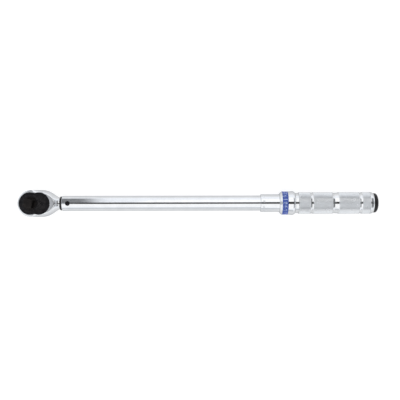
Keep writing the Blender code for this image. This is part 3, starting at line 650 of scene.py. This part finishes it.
def drive_square():
    """The square drive: flats with rounded corners, a chamfered end and the detent ball's hole."""
    half, low, high = SQUARE / 2, BOSS_TOP - 1 * MM, SQUARE_TIP - AXIS_Z
    corner = 1.3 * MM

    def outline(inset):
        points = []
        size, radius = half - inset, max(corner - inset, 0.3 * MM)
        for quarter in range(4):
            angle = quarter * pi / 2
            turn = Matrix.Rotation(angle + SQUARE_TURN, 2)
            for x, y in arc(radius, 0, pi / 2, 6, (size - radius, size - radius)):
                points.append(tuple(turn @ Vector((x, y))))
        return points

    chamfer = ((1.3, 0), (1.1, 0.04), (0.25, 0.62), (0.08, 0.78), (0, 1.05))
    rings = [(low, outline(0))] + [(high - drop * MM, outline(inset * MM)) for drop, inset in chamfer]
    square = prism("drive_square", rings, DRIVE, ON_DRIVE, 25)
    hole = plug(0, 8 * MM, 2.55 * MM, Vector(), "Y", 48)
    hole.data.transform(detent_place())
    return cut(square, hole)


def detent_place():
    """The matrix of the detent ball's hole, whose local Y points out of the square's flat."""
    return turned((DRIVE_X, 0, AXIS_Z + DETENT_Z), SQUARE_TURN)


def ball(name, node, look):
    """A bearing ball, as a rounded cube grid pushed on to its sphere."""
    low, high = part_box(node)
    centre = (Vector(low) + Vector(high)) / 2
    radius = (high[2] - low[2]) / 2
    shape = bmesh.new()
    bmesh.ops.create_cube(shape, size=1)
    bmesh.ops.subdivide_edges(shape, edges=shape.edges, cuts=11, use_grid_fill=True)
    for vert in shape.verts:
        vert.co = vert.co.normalized() * radius + centre
    return from_bmesh(name, shape, look)


def snap_ring():
    """The open ring that holds the drive in the plate, with a gap on one side."""
    low, high = 12.45 * MM, 13.25 * MM
    outer, inner = 11.1 * MM, 9.0 * MM
    corners = [(high, outer, 0.15), (low, outer, 0.1), (low, inner, 0), (high, inner, 0.15)]
    ring = lathe("snap_ring", soften(corners, 3), OXIDE, "Z", ON_DRIVE, 120)
    gap = box("gap", (0, -1.4 * MM, 12 * MM), (13 * MM, 1.4 * MM, 14 * MM), STEEL)
    gap.data.transform(Matrix.Translation((DRIVE_X, 0, 0)))
    return cut(ring, gap)


def reverse_lever():
    """The reversing lever: a dial with a thumb tab, whose top edge is rounded, and two direction
    arrows sunk in its face."""
    dial, tab, reach = 10.5 * MM, 4.0 * MM, 15.0 * MM
    tangent = acos((dial - tab) / reach)

    def outline(inset):
        points = arc(dial - inset, tangent, 2 * pi - tangent, 72)
        return points + arc(tab - inset, -tangent, tangent, 24, (reach, 0.0))

    edge = 0.9 * MM
    rings = []
    for k in range(7):
        angle = pi / 2 * k / 6
        rings.append((edge * (1 - sin(angle)), outline(edge * (1 - cos(angle)))))
    rings = [(LEVER_TOP, outline(0.2 * MM)), (LEVER_TOP - 0.2 * MM, outline(0)), *rings]
    lever = prism("thumb_lever", rings[::-1], OXIDE, Vector())
    tools = []
    for side in (-1, 1):
        arrow = [(-1.6, 2.2), (2.2, 2.2), (2.2, 1.1), (4.8, 3.2), (2.2, 5.3), (2.2, 4.2), (-1.6, 4.2)]
        flat = [(x * MM - 2.5 * MM, side * y * MM) for x, y in arrow]
        tools.append(prism("arrow", [(-1 * MM, flat), (0.35 * MM, flat)], STEEL, Vector()))
    for i in range(4):
        x = (11.2 + 1.9 * i) * MM
        tools.append(plug(-8 * MM, 8 * MM, 0.55 * MM, Vector((x, 0, -0.1 * MM)), "Y", 24))
    cut(lever, *tools)
    lever.data.transform(turned((SPINDLE_X, 0, 0), LEVER_TURN))
    return lever


def lever_spindle():
    """The lever's spindle, whose end shows in the cover plate with a small centre dimple."""
    top = HALF_THICK + 0.1 * MM
    corners = (
        (top - 0.7 * MM, 0, 0),
        (top, 0.9 * MM, 0.1),
        (top, 2.4 * MM, 0.3),
        (9.4 * MM, 2.4 * MM, 0),
        (9.4 * MM, 3.0 * MM, 0.2),
        (-HALF_THICK - 2 * MM, 3.0 * MM, 0),
        (-HALF_THICK - 2 * MM, 0, 0),
    )
    spindle = lathe("lever_spindle", soften(corners), OXIDE, "Z", ON_SPINDLE, 64)
    hole = plug(0, 5 * MM, 1.1 * MM, Vector(), "Y", 24)
    hole.data.transform(turned(LEVER_BALL_LEVEL, LEVER_TURN - pi / 2))
    return cut(spindle, hole)


# ---- barrel


def barrel_tube():
    """The long chromed tube, with a rolled mouth and the holes for the head's pivot pin."""
    corners = (
        (TUBE_REAR, TUBE_RADIUS, 0.3),
        (TUBE_FRONT, TUBE_RADIUS, 1.3),
        (TUBE_FRONT, TUBE_BORE, 0.3),
        (TUBE_REAR, TUBE_BORE, 0.2),
    )
    tube = lathe("chromed_tube", soften(corners, 7), CHROME, steps=192)
    cut(tube, plug(-13 * MM, 13 * MM, PIN_RADIUS + 0.1 * MM, ON_PIVOT))
    round_normals(tube, TUBE_RADIUS)
    return tube


def round_normals(obj, radius):
    """Points the normals of the flat facets on the tube's outside straight away from its axis."""
    mesh = obj.data
    normals = [None] * len(mesh.loops)
    for polygon in mesh.polygons:
        corners = [mesh.vertices[i].co for i in polygon.vertices]
        skin = all(abs(hypot(c.y, c.z - AXIS_Z) - radius) < 0.03 * MM for c in corners)
        for loop in polygon.loop_indices:
            spot = mesh.vertices[mesh.loops[loop].vertex_index].co
            if skin:
                normals[loop] = Vector((0, spot.y, spot.z - AXIS_Z)).normalized()
            else:
                normals[loop] = mesh.corner_normals[loop].vector.copy()
    mesh.normals_split_custom_set(normals)


def pivot_pin():
    """The pin's ends are turned to the tube's curve and each has a shallow centre mark."""
    end = span("pivot_pin", "z")[1] - AXIS_Z
    corners = (
        (end - 0.5 * MM, 0, 0),
        (end, 0.7 * MM, 0.1),
        (end, PIN_RADIUS, 0.5),
        (-end, PIN_RADIUS, 0.5),
        (-end, 0.7 * MM, 0.1),
        (-end + 0.5 * MM, 0, 0),
    )
    return lathe("head_pivot_pin", soften(corners), OXIDE, "Z", ON_PIVOT, 72)


def dust_seal():
    """The seal's flange between the neck and the tube's mouth, with a shallow rib."""
    flange = TUBE_FRONT - 0.1 * MM
    middle = (SEAL_FRONT + flange) / 2
    corners = (
        (SEAL_REAR, 9.5 * MM, 0.2),
        (flange, 9.5 * MM, 0),
        (flange, SEAL_RADIUS, 0.4),
        (middle + 0.4 * MM, SEAL_RADIUS, 0.2),
        (middle, SEAL_RADIUS - 0.35 * MM, 0.2),
        (middle - 0.4 * MM, SEAL_RADIUS, 0.2),
        (SEAL_FRONT, SEAL_RADIUS - 0.4 * MM, 0.6),
        (SEAL_FRONT, 8.8 * MM, 0.3),
        (SEAL_REAR, 8.8 * MM, 0.2),
    )
    return lathe("mouth_seal", soften(corners), RUBBER, steps=120)


def scale_sleeve():
    """The sleeve that carries the scale, with a ring of ten punched dimples near its front."""
    ring_x, dimple, depth = 96.2 * MM, 1.3 * MM, 0.5 * MM
    start, end = ring_x - 1.4 * MM, ring_x + 1.4 * MM
    fine = [(end - (end - start) * i / 22, SLEEVE_RADIUS, 0) for i in range(23)]
    corners = [(SLEEVE_REAR, SLEEVE_RADIUS, 0.3), *fine, (SLEEVE_FRONT, SLEEVE_RADIUS, 0.7)]
    corners += [(SLEEVE_FRONT, TUBE_RADIUS + 0.1 * MM, 0.2), (SLEEVE_REAR, TUBE_RADIUS + 0.1 * MM, 0)]
    step = radians(36)

    def punched(places, radii, angles):
        off = angles - radians(11.5)
        nearest = off - np.round(off / step) * step
        away = np.hypot(places - ring_x, nearest * SLEEVE_RADIUS) / dimple
        dent = depth * np.clip(1 - away**2, 0, None)
        return np.where(np.abs(radii - SLEEVE_RADIUS) < 0.01 * MM, radii - dent, radii)

    return lathe("scale_sleeve_skin", soften(corners), CHROME, steps=420, sharp=40, swell=punched)


def wrapped(x, along, radius, angle):
    """The point at x, a distance along the circumference from angle, on a cylinder round the axis."""
    turn = angle + along / radius
    return (x, radius * sin(turn), AXIS_Z + radius * cos(turn))


def marks(name, look, radius, lines, words):
    """Painted lines and figures on a cylinder. lines holds (x0, x1, angle, width), with width
    measured round the cylinder. words holds (text, x, angle, height), with the figures' tops
    towards the head."""
    verts, faces = [], []
    lift, capital = 0.02 * MM, 0.7
    for x0, x1, angle, width in lines:
        for i in range(3):
            along = (i - 1) * width / 2
            verts.append(wrapped(x0, along, radius + lift, angle))
            verts.append(wrapped(x1, along, radius + lift, angle))
            if i:
                a = len(verts) - 4
                faces.append((a, a + 1, a + 3, a + 2))
    for text, x, angle, height in words:
        curve = bpy.data.curves.new("figure", "FONT")
        curve.body = text
        curve.size = height / capital
        curve.offset = 0.03 * curve.size
        curve.align_x = "CENTER"
        curve.align_y = "CENTER"
        curve.resolution_u = 3
        drawn = add_object("figure", curve)
        bpy.context.view_layer.update()
        graph = bpy.context.evaluated_depsgraph_get()
        mesh = bpy.data.meshes.new_from_object(drawn.evaluated_get(graph))
        first = len(verts)
        verts += [wrapped(x - v.co.y, v.co.x, radius + lift, angle) for v in mesh.vertices]
        faces += [tuple(first + i for i in p.vertices) for p in mesh.polygons]
        bpy.data.objects.remove(drawn)
        bpy.data.meshes.remove(mesh)
    obj = add_mesh(name, verts, faces, look)
    away = Vector((0, 0, AXIS_Z))
    shape = bmesh.new()
    shape.from_mesh(obj.data)
    for face in shape.faces:
        out = face.calc_center_median() - away
        if face.normal.dot(Vector((0, out.y, out.z))) < 0:
            face.normal_flip()
    shape.to_mesh(obj.data)
    shape.free()
    return obj


def setting_scale():
    """The main scale, on the lever's side: a datum line with a graduation for each turn of the
    handle, which meets the lock ring's front edge."""
    under = pi
    last = RING_FRONT - 8 * THREAD_PITCH
    lines = [(last, RING_FRONT, under, 0.25 * MM)]
    words = []
    for turn in range(9):
        x = RING_FRONT - turn * THREAD_PITCH
        wide = 7.0 * MM if turn % 2 == 0 else 4.0 * MM
        lines.append((x - 0.1 * MM, x + 0.1 * MM, under, wide))
        if turn % 2 == 0:
            words.append((str(40 + 20 * turn), x, under + 6.2 * MM / SLEEVE_RADIUS, 1.7 * MM))
    words.append(("N m", last - 0.4 * MM, under - 6.4 * MM / SLEEVE_RADIUS, 1.7 * MM))
    return marks("setting_scale", INK, SLEEVE_RADIUS, lines, words)


# ---- lock ring


def lock_ring():
    """The chromed lock ring: a chamfered nose, a groove for the blue band, a waist and a bulge."""
    floor = BAND_RADIUS - 0.55 * MM
    shoulder = BAND_RADIUS - 0.12 * MM
    lip = SLEEVE_RADIUS + 0.3 * MM
    bore = 15.0 * MM
    pocket, pocket_end = 131.7 * MM, 138.6 * MM
    corners = (
        (RING_REAR, bore + 0.2 * MM, 0.2),
        (RING_REAR - 0.7 * MM, 16.3 * MM, 0.7),
        (RING_REAR - 2.4 * MM, RIDGE_RADIUS - 0.3 * MM, 1.4),
        (RING_FRONT + 19 * MM, RIDGE_RADIUS + 0.03 * MM, 1.4),
        (RING_FRONT + 16.4 * MM, RIDGE_RADIUS - 0.25 * MM, 1.0),
        (RING_FRONT + 14.2 * MM, RIDGE_RADIUS - 0.5 * MM, 0.8),
        (BAND_REAR + 0.1 * MM, shoulder, 0.2),
        (BAND_REAR + 0.1 * MM, floor, 0),
        (BAND_FRONT - 0.1 * MM, floor, 0),
        (BAND_FRONT - 0.1 * MM, shoulder, 0.2),
        (RING_FRONT + 1.9 * MM, 16.0 * MM, 0.9),
        (RING_FRONT, 14.0 * MM, 0.5),
        (RING_FRONT, lip, 0.2),
        (RING_FRONT + 1.5 * MM, lip, 0.2),
        (RING_FRONT + 1.5 * MM, bore, 0),
        (pocket, bore, 0),
        (pocket, 16.1 * MM, 0),
        (pocket_end, 15.5 * MM, 0),
        (pocket_end, bore, 0),
        (RING_REAR, bore, 0),
    )
    return lathe("lock_ring_skin", soften(corners), CHROME, steps=160)


def index_band():
    """The blue band that fills the ring's groove."""
    corners = (
        (BAND_REAR, BAND_RADIUS, 0.25),
        (BAND_FRONT, BAND_RADIUS, 0.25),
        (BAND_FRONT, BAND_RADIUS - 0.45 * MM, 0),
        (BAND_REAR, BAND_RADIUS - 0.45 * MM, 0),
    )
    return lathe("blue_band", soften(corners), BLUE, steps=160)


def index_figures():
    """The fine scale: 20 graduations to the turn, counted from 0 to 9 twice."""
    radius = BAND_RADIUS - 0.015 * MM
    lines, words = [], []
    for i in range(20):
        angle = radians(18 * i)
        long = i % 2 == 0
        lines.append((BAND_FRONT + 0.35 * MM, BAND_FRONT + (1.6 if long else 1.1) * MM, angle, 0.45 * MM))
        words.append((str(i % 10), BAND_FRONT + 4.7 * MM, angle, 5.0 * MM))
    return marks("fine_scale", FIGURES, radius, lines, words)


# ---- handle


def grip_core():
    """The handle's smooth surfaces: its front neck, the polished grooves and the rear rim. The
    knurled bands stand round it."""
    deep, bottom, wall = GRIP_RADIUS - 0.55 * MM, GRIP_RADIUS - 0.6 * MM, 0.45 * MM
    web, web_end = 236.3 * MM, 240.0 * MM
    corners = [
        (GRIP_REAR, 13.4 * MM, 0.2),
        (GRIP_REAR, 14.5 * MM, 0.5),
        (GRIP_REAR - 2.2 * MM, 15.7 * MM, 1.4),
        (GRIP_REAR - 5.2 * MM, GRIP_RADIUS, 0.8),
        (GRIP_REAR - 5.6 * MM, GRIP_RADIUS, 0),
        (GRIP_REAR - 5.9 * MM, deep, 0),
    ]
    for low, high in reversed(GRIP_GROOVES):
        slope = 0.8 * MM + 0.21 * (high - low)
        corners += [
            (high + wall, deep, 0),
            (high, GRIP_RADIUS - 0.05 * MM, 0.25),
            (high - wall, bottom, 0.3),
            (low + slope, GRIP_RADIUS - 0.05 * MM - 0.4 * slope, 0.3),
            (low, GRIP_RADIUS - 0.05 * MM, 0.1),
            (low - wall, deep, 0),
        ]
    corners += [
        (NECK_END + 0.5 * MM, deep, 0),
        (NECK_END + 0.45 * MM, GRIP_RADIUS - 0.1 * MM, 0.3),
        (NECK_END, GRIP_RADIUS - 0.6 * MM, 0.3),
        (NECK_END, 14.86 * MM, 0.5),
        (GRIP_FRONT, 14.86 * MM, 0.3),
        (GRIP_FRONT, 13.3 * MM, 0),
        (web, 13.3 * MM, 0),
        (web, 5.2 * MM, 0),
        (web_end, 5.2 * MM, 0),
        (web_end, 13.4 * MM, 0),
    ]
    return lathe("handle_core", soften(corners), TURNED, steps=160)


def knurl(name, low, high):
    """A diamond-knurled band: pyramids between two families of crossing grooves. Its grid has a
    point on each pyramid's top and one at each crossing, and its facets split along the grooves."""
    pitch = 1.15 * MM
    top, bottom = GRIP_RADIUS, GRIP_RADIUS - 0.34 * MM
    around = 2 * round(2 * pi * GRIP_RADIUS / pitch)
    rows = 2 * round((high - low) / pitch / 2) * 2
    verts, faces = [], []
    for i in range(rows + 3):
        edge = i in (0, rows + 2)
        rim = i in (1, rows + 1)
        share = min(max(i - 1, 0), rows) / rows
        x = low + (high - low) * share
        for j in range(around):
            radius = top - 0.02 * MM if (i + j) % 2 == 0 and not rim else bottom
            if edge:
                radius = GRIP_RADIUS - 0.6 * MM
            angle = 2 * pi * j / around
            verts.append(wrapped(x, 0, radius, angle))
    for i in range(rows + 2):
        for j in range(around):
            k = (j + 1) % around
            a, b, c, d = i * around + j, i * around + k, (i + 1) * around + k, (i + 1) * around + j
            if (i + j) % 2 == 0:
                faces += [(a, b, d), (b, c, d)]
            else:
                faces += [(a, b, c), (a, c, d)]
    obj = add_mesh(name, verts, faces, SATIN)
    obj.data.shade_flat()
    return obj


def knurled_bands():
    """The four knurled bands that the grooves leave between them."""
    wall = 0.5 * MM
    ends = [NECK_END + wall]
    for low, high in GRIP_GROOVES:
        ends += [low - 0.05 * MM, high + 0.05 * MM]
    ends.append(GRIP_REAR - 5.6 * MM)
    names = ("knurl_front", "knurl_middle", "knurl_rear", "knurl_end")
    return [knurl(name, ends[2 * i], ends[2 * i + 1]) for i, name in enumerate(names)]


def end_cap():
    """The domed cap: a flange against the handle's rim, then a soft dome."""
    rim = GRIP_REAR + 0.2 * MM
    shoulder = CAP_REAR - 5.5 * MM
    depth = CAP_REAR - shoulder
    widest = CAP_RADIUS - 0.05 * MM
    bulge = 2 / 2.4
    profile = []
    for i in range(25):
        angle = pi / 2 * i / 24
        x = shoulder + depth * cos(angle) ** bulge
        profile.append((x, widest * sin(angle) ** bulge))
    skirt = [
        (rim + 0.9 * MM, CAP_RADIUS, 0.3),
        (rim + 0.6 * MM, CAP_RADIUS - 0.45 * MM, 0.2),
        (rim, CAP_RADIUS - 0.45 * MM, 0.2),
        (rim, 13.2 * MM, 0),
        (CAP_FRONT, 13.2 * MM, 0.3),
        (CAP_FRONT, 11.4 * MM, 0.2),
        (shoulder - 0.5 * MM, 11.4 * MM, 0.5),
        (shoulder + 1.8 * MM, 8.4 * MM, 0),
        (shoulder + 2 * MM, 0, 0),
    ]
    return lathe("domed_cap", profile + soften(skirt), PLASTIC, steps=144)


def setting_screw():
    """The setting screw, with its thread cut as a helix."""
    low, high = span("adjusting_screw", "x")
    start, end, shoulder = 172 * MM, 233 * MM, 236 * MM
    crest, depth = 6.0 * MM, 0.9 * MM
    rows = int((end - start) / THREAD_PITCH * 10)
    thread = [(end - (end - start) * i / rows, crest) for i in range(rows + 1)]
    profile = [(high, 0), (high, 5.0 * MM), (shoulder, 5.0 * MM), (shoulder, crest), *thread]
    profile += [(low, crest), (low, 3.3 * MM), (low + 2.6 * MM, 3.3 * MM), (low + 2.6 * MM, 0)]

    def helix(places, radii, angles):
        turns = (places - start) / THREAD_PITCH - angles / (2 * pi)
        slope = np.abs(2 * (turns - np.floor(turns)) - 1)
        cutting = (places > start) & (places < end) & (radii > 5.5 * MM)
        return np.where(cutting, radii - depth * np.clip(1.5 * slope - 0.25, 0, 1), radii)

    return lathe("threaded_screw", profile, STEEL, steps=48, sharp=60, swell=helix)


# ---- springs


def coil(name, low, high, mean, wire, active, matrix):
    """A compression spring with closed ends, from low to high along its own Z."""
    closed = 1.0
    turns = active + 2 * closed
    pitch = 2.1 * wire
    free = (high - low) - 2 * wire - 2 * closed * pitch
    per_turn, sides = 28, 10
    count = int(turns * per_turn)
    verts, faces = [], []
    for i in range(count + 1):
        turn = turns * i / count
        climb = min(turn, closed) + max(0.0, turn - closed - active)
        middle = min(max(turn - closed, 0.0), active) / active
        height = low + wire + climb * pitch + middle * free
        angle = 2 * pi * turn
        for k in range(sides):
            round_wire = 2 * pi * k / sides
            radius = mean + wire * cos(round_wire)
            z = height + wire * sin(round_wire)
            verts.append((radius * cos(angle), radius * sin(angle), z))
        if i:
            a, b = (i - 1) * sides, i * sides
            faces += [(a + k, a + (k + 1) % sides, b + (k + 1) % sides, b + k) for k in range(sides)]
    faces += [tuple(range(sides))[::-1], tuple(range(count * sides, (count + 1) * sides))]
    spring = add_mesh(name, verts, faces, STEEL, 60)
    spring.data.transform(matrix)
    return spring


def spring(made, body, node, joint, way, fixed, stroke, length):
    """Places a spring on its body with a mesh of its own and hides its CAD node. joint, way, fixed,
    stroke and length are not used.
    """
    place(made, body, "bright_steel", node)
    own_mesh(made)


def springs():
    """The four springs. The main spring starts clear of its piston, which slides back at the click."""
    low, high = span("main_spring", "x")
    lying = frame_of("X", ON_AXIS)
    made = coil("power_spring", low + SPRING_CLEAR, high, 6.9 * MM, 1.8 * MM, 15, lying)
    fixed = (low, 0, AXIS_Z)
    spring(made, "barrel", "main_spring", "setting_travel", (1, 0, 0), fixed, SETTING_TRAVEL, high - low)

    low, high = span("lock_spring", "x")
    made = coil("ring_spring", low, high, 14.15 * MM, 0.5 * MM, 3, lying)
    fixed = (high, 0, AXIS_Z)
    spring(made, "handle", "lock_spring", "lock_ring_pull", (1, 0, 0), fixed, RING_PULL, high - low)

    spot = detent_place()
    out = SQUARE / 2 + 0.9 * MM - 2.4 * MM
    first, last = -0.7 * MM, out - 2.5 * MM
    upright = spot @ frame_of("Y", Vector())
    made = coil("square_detent_spring", first, last, 1.6 * MM, 0.28 * MM, 2.5, upright)
    way = (spot.to_3x3() @ Vector((0, 1, 0))).normalized()
    fixed = spot @ Vector((0, first, 0))
    spring(made, "drive", "detent_spring", "detent_press", way, fixed, DETENT_STROKE, last - first)

    spot = turned(LEVER_BALL_LEVEL, LEVER_TURN)
    first, last = 0.1 * MM, 2.3 * MM
    made = coil("spindle_spring", first, last, 0.7 * MM, 0.15 * MM, 2.5, spot @ frame_of("X", Vector()))
    way = (spot.to_3x3() @ Vector((1, 0, 0))).normalized()
    fixed = spot @ Vector((first, 0, 0))
    spring(made, "lever", "lever_spring", "lever_detent_press", way, fixed, LEVER_STROKE, last - first)


# ---- assembly


def build():
    """Makes every piece and says what it rides on and what it stands for."""
    place(forged_head(), "head", "polished_chrome", "ratchet_head")
    place(head_tang(), "head", "polished_chrome", "ratchet_head")
    place(cover_plate(), "head", "black_steel", "cover_plate")
    place(cover_screw("left_cover_screw", 1), "head", "black_steel", "cover_screw_left")
    place(cover_screw("right_cover_screw", -1), "head", "black_steel", "cover_screw_right")
    place(snap_ring(), "head", "bright_steel", "drive_clip")
    place(drive_gear(), "drive", "black_steel", "drive_gear")
    place(drive_boss(), "drive", "black_steel", "drive_gear")
    place(drive_square(), "drive", "black_steel", "drive_gear")
    place(ball("square_detent_ball", "detent_ball", DRIVE), "detent", "bright_steel", "detent_ball")
    place(reverse_lever(), "lever", "black_steel", "reverse_lever")
    place(lever_spindle(), "lever", "black_steel", "reverse_lever")
    place(barrel_tube(), "barrel", "polished_chrome", "barrel_tube")
    place(pivot_pin(), "barrel", "black_steel", "pivot_pin")
    place(dust_seal(), "barrel", "black_rubber", "dust_seal")
    place(scale_sleeve(), "barrel", "polished_chrome", "scale_sleeve")
    place(setting_scale(), "barrel", "black_steel")
    place(lock_ring(), "lock_ring", "polished_chrome", "lock_ring")
    place(index_band(), "lock_ring", "blue_enamel", "index_band")
    place(index_figures(), "lock_ring", "blue_enamel")
    place(grip_core(), "handle", "satin_steel", "grip")
    for band in knurled_bands():
        place(band, "handle", "satin_steel", "grip")
    place(end_cap(), "handle", "black_plastic", "end_cap")
    place(setting_screw(), "handle", "bright_steel", "adjusting_screw")
    springs()


def dress_frame():
    """Gives the CAD pieces that stay the same finishes as the new ones."""
    looks = {"bright_steel": STEEL, "black_steel": OXIDE, "polished_chrome": CHROME, "satin_steel": SATIN,
             "black_plastic": PLASTIC, "black_rubber": RUBBER, "blue_enamel": BLUE}
    slots = {part["node"]: part["material_slot"] for part in frame["record"]["subparts"]}
    for name, node in frame["nodes"].items():
        for slot in node.material_slots:
            slot.material = looks[slots[name]]


# ---- studio


def glow(name, strength):
    """A softbox's white face."""
    made = Nodes(name)
    made.tree.nodes.remove(made.shader)
    emission = fill(made.add("ShaderNodeEmission"), Strength=strength)
    made.link(emission.outputs["Emission"], made.tree.nodes["Material Output"].inputs["Surface"])
    return made.owner


def panel(name, x, y, z, look, shown=False):
    """A flat rectangle between two x and two y at one height, as part of the studio."""
    verts = [(x[0], y[0], z), (x[1], y[0], z), (x[1], y[1], z), (x[0], y[1], z)]
    mesh = bpy.data.meshes.new(name)
    mesh.from_pydata(verts, [], [(0, 1, 2, 3)])
    mesh.materials.append(look)
    obj = add_object(name, mesh)
    obj.visible_camera = shown
    return obj


def floor_look():
    """A white sweep that glows a little, so that it stays white."""
    made = Nodes("white_sweep")
    made.colour(made.ramp(made.noise(3, 2), (0.30, 0.30, 0.30), (0.32, 0.32, 0.32)))
    fill(made.shader, Roughness=0.9, Emission_Color=(1, 1, 1, 1), Emission_Strength=0.78)
    return made.owner


def air():
    """The soft light all round the studio: bright at both sides, duller along the tool, and darker
    beyond the handle and behind the head's far side."""
    sky = Nodes("studio_air", bpy.data.worlds)
    bpy.context.scene.world = sky.owner
    split = sky.add("ShaderNodeSeparateXYZ")
    sky.link(sky.add("ShaderNodeTexCoord").outputs["Generated"], split.inputs["Vector"])
    along, across, up = (split.outputs[axis] for axis in "XYZ")
    aside = sky.maths("ABSOLUTE", across)

    def rise(value, start, end):
        return sky.between(value, 0.0, 1.0, start, end)

    def fall(value, start, end):
        return sky.between(value, 1.0, 0.0, start, end)

    def product(first, *others):
        for other in others:
            first = sky.maths("MULTIPLY", first, other)
        return first

    ahead = product(rise(along, 0.38, 0.50), fall(along, 0.76, 0.84), rise(up, 0.25, 0.45))
    beyond = product(ahead, fall(aside, 0.66, 0.78))
    behind = product(fall(along, -0.160, -0.140), rise(along, -0.40, -0.30))
    far = product(rise(across, 0.05, 0.20), rise(up, 0.0, 0.30))
    sides = sky.between(aside, 0.80, 1.45, 0.15, 0.24)
    dusk = sky.between(beyond, 1.0, 0.12, 0.0, 1.0)
    gloom = sky.between(product(behind, far), 1.0, 0.20, 0.0, 1.0)
    rim = sky.between(across, 0.60, 1.0, -0.97, -0.90)
    background = fill(sky.tree.nodes["Background"], Color=(0.94, 0.965, 1.0, 1))
    sky.link(product(sides, dusk, gloom, rim), background.inputs["Strength"])


def studio():
    """A white floor, a softbox on each side overhead, and the dark gap between them where the
    camera stands."""
    sweep = (-40, 40)
    panel("floor", sweep, sweep, -0.05 * MM, floor_look(), True)
    height = AXIS_Z + 1.25
    near, far, outer, rear = -0.21, 0.29, 1.9, 0.80
    panel("softbox_far", (-0.20, rear), (far, outer), height, glow("far_light", 1.60))
    panel("softbox_near", (-1.6, rear), (-outer, near), height, glow("near_light", 1.48))
    dark = Nodes("camera_black")
    dark.colour(dark.ramp(dark.noise(20), (0.02, 0.02, 0.02), (0.03, 0.03, 0.03)))
    panel("camera_shade", (-0.43, rear), (near, far), height, dark.owner)
    air()


def camera():
    """The camera, straight above the tool."""
    lens = bpy.data.cameras.new("camera")
    lens.sensor_width = 36
    lens.lens = 63
    holder = add_object("camera", lens)
    distance, turn = 1.0352, radians(-0.1)
    holder.location = (2.2 * MM, 4.7 * MM, AXIS_Z + distance)
    holder.rotation_euler = (0, 0, turn)
    bpy.context.scene.camera = holder
    bpy.context.scene.view_settings.view_transform = "Standard"


build()
dress_frame()
studio()
camera()
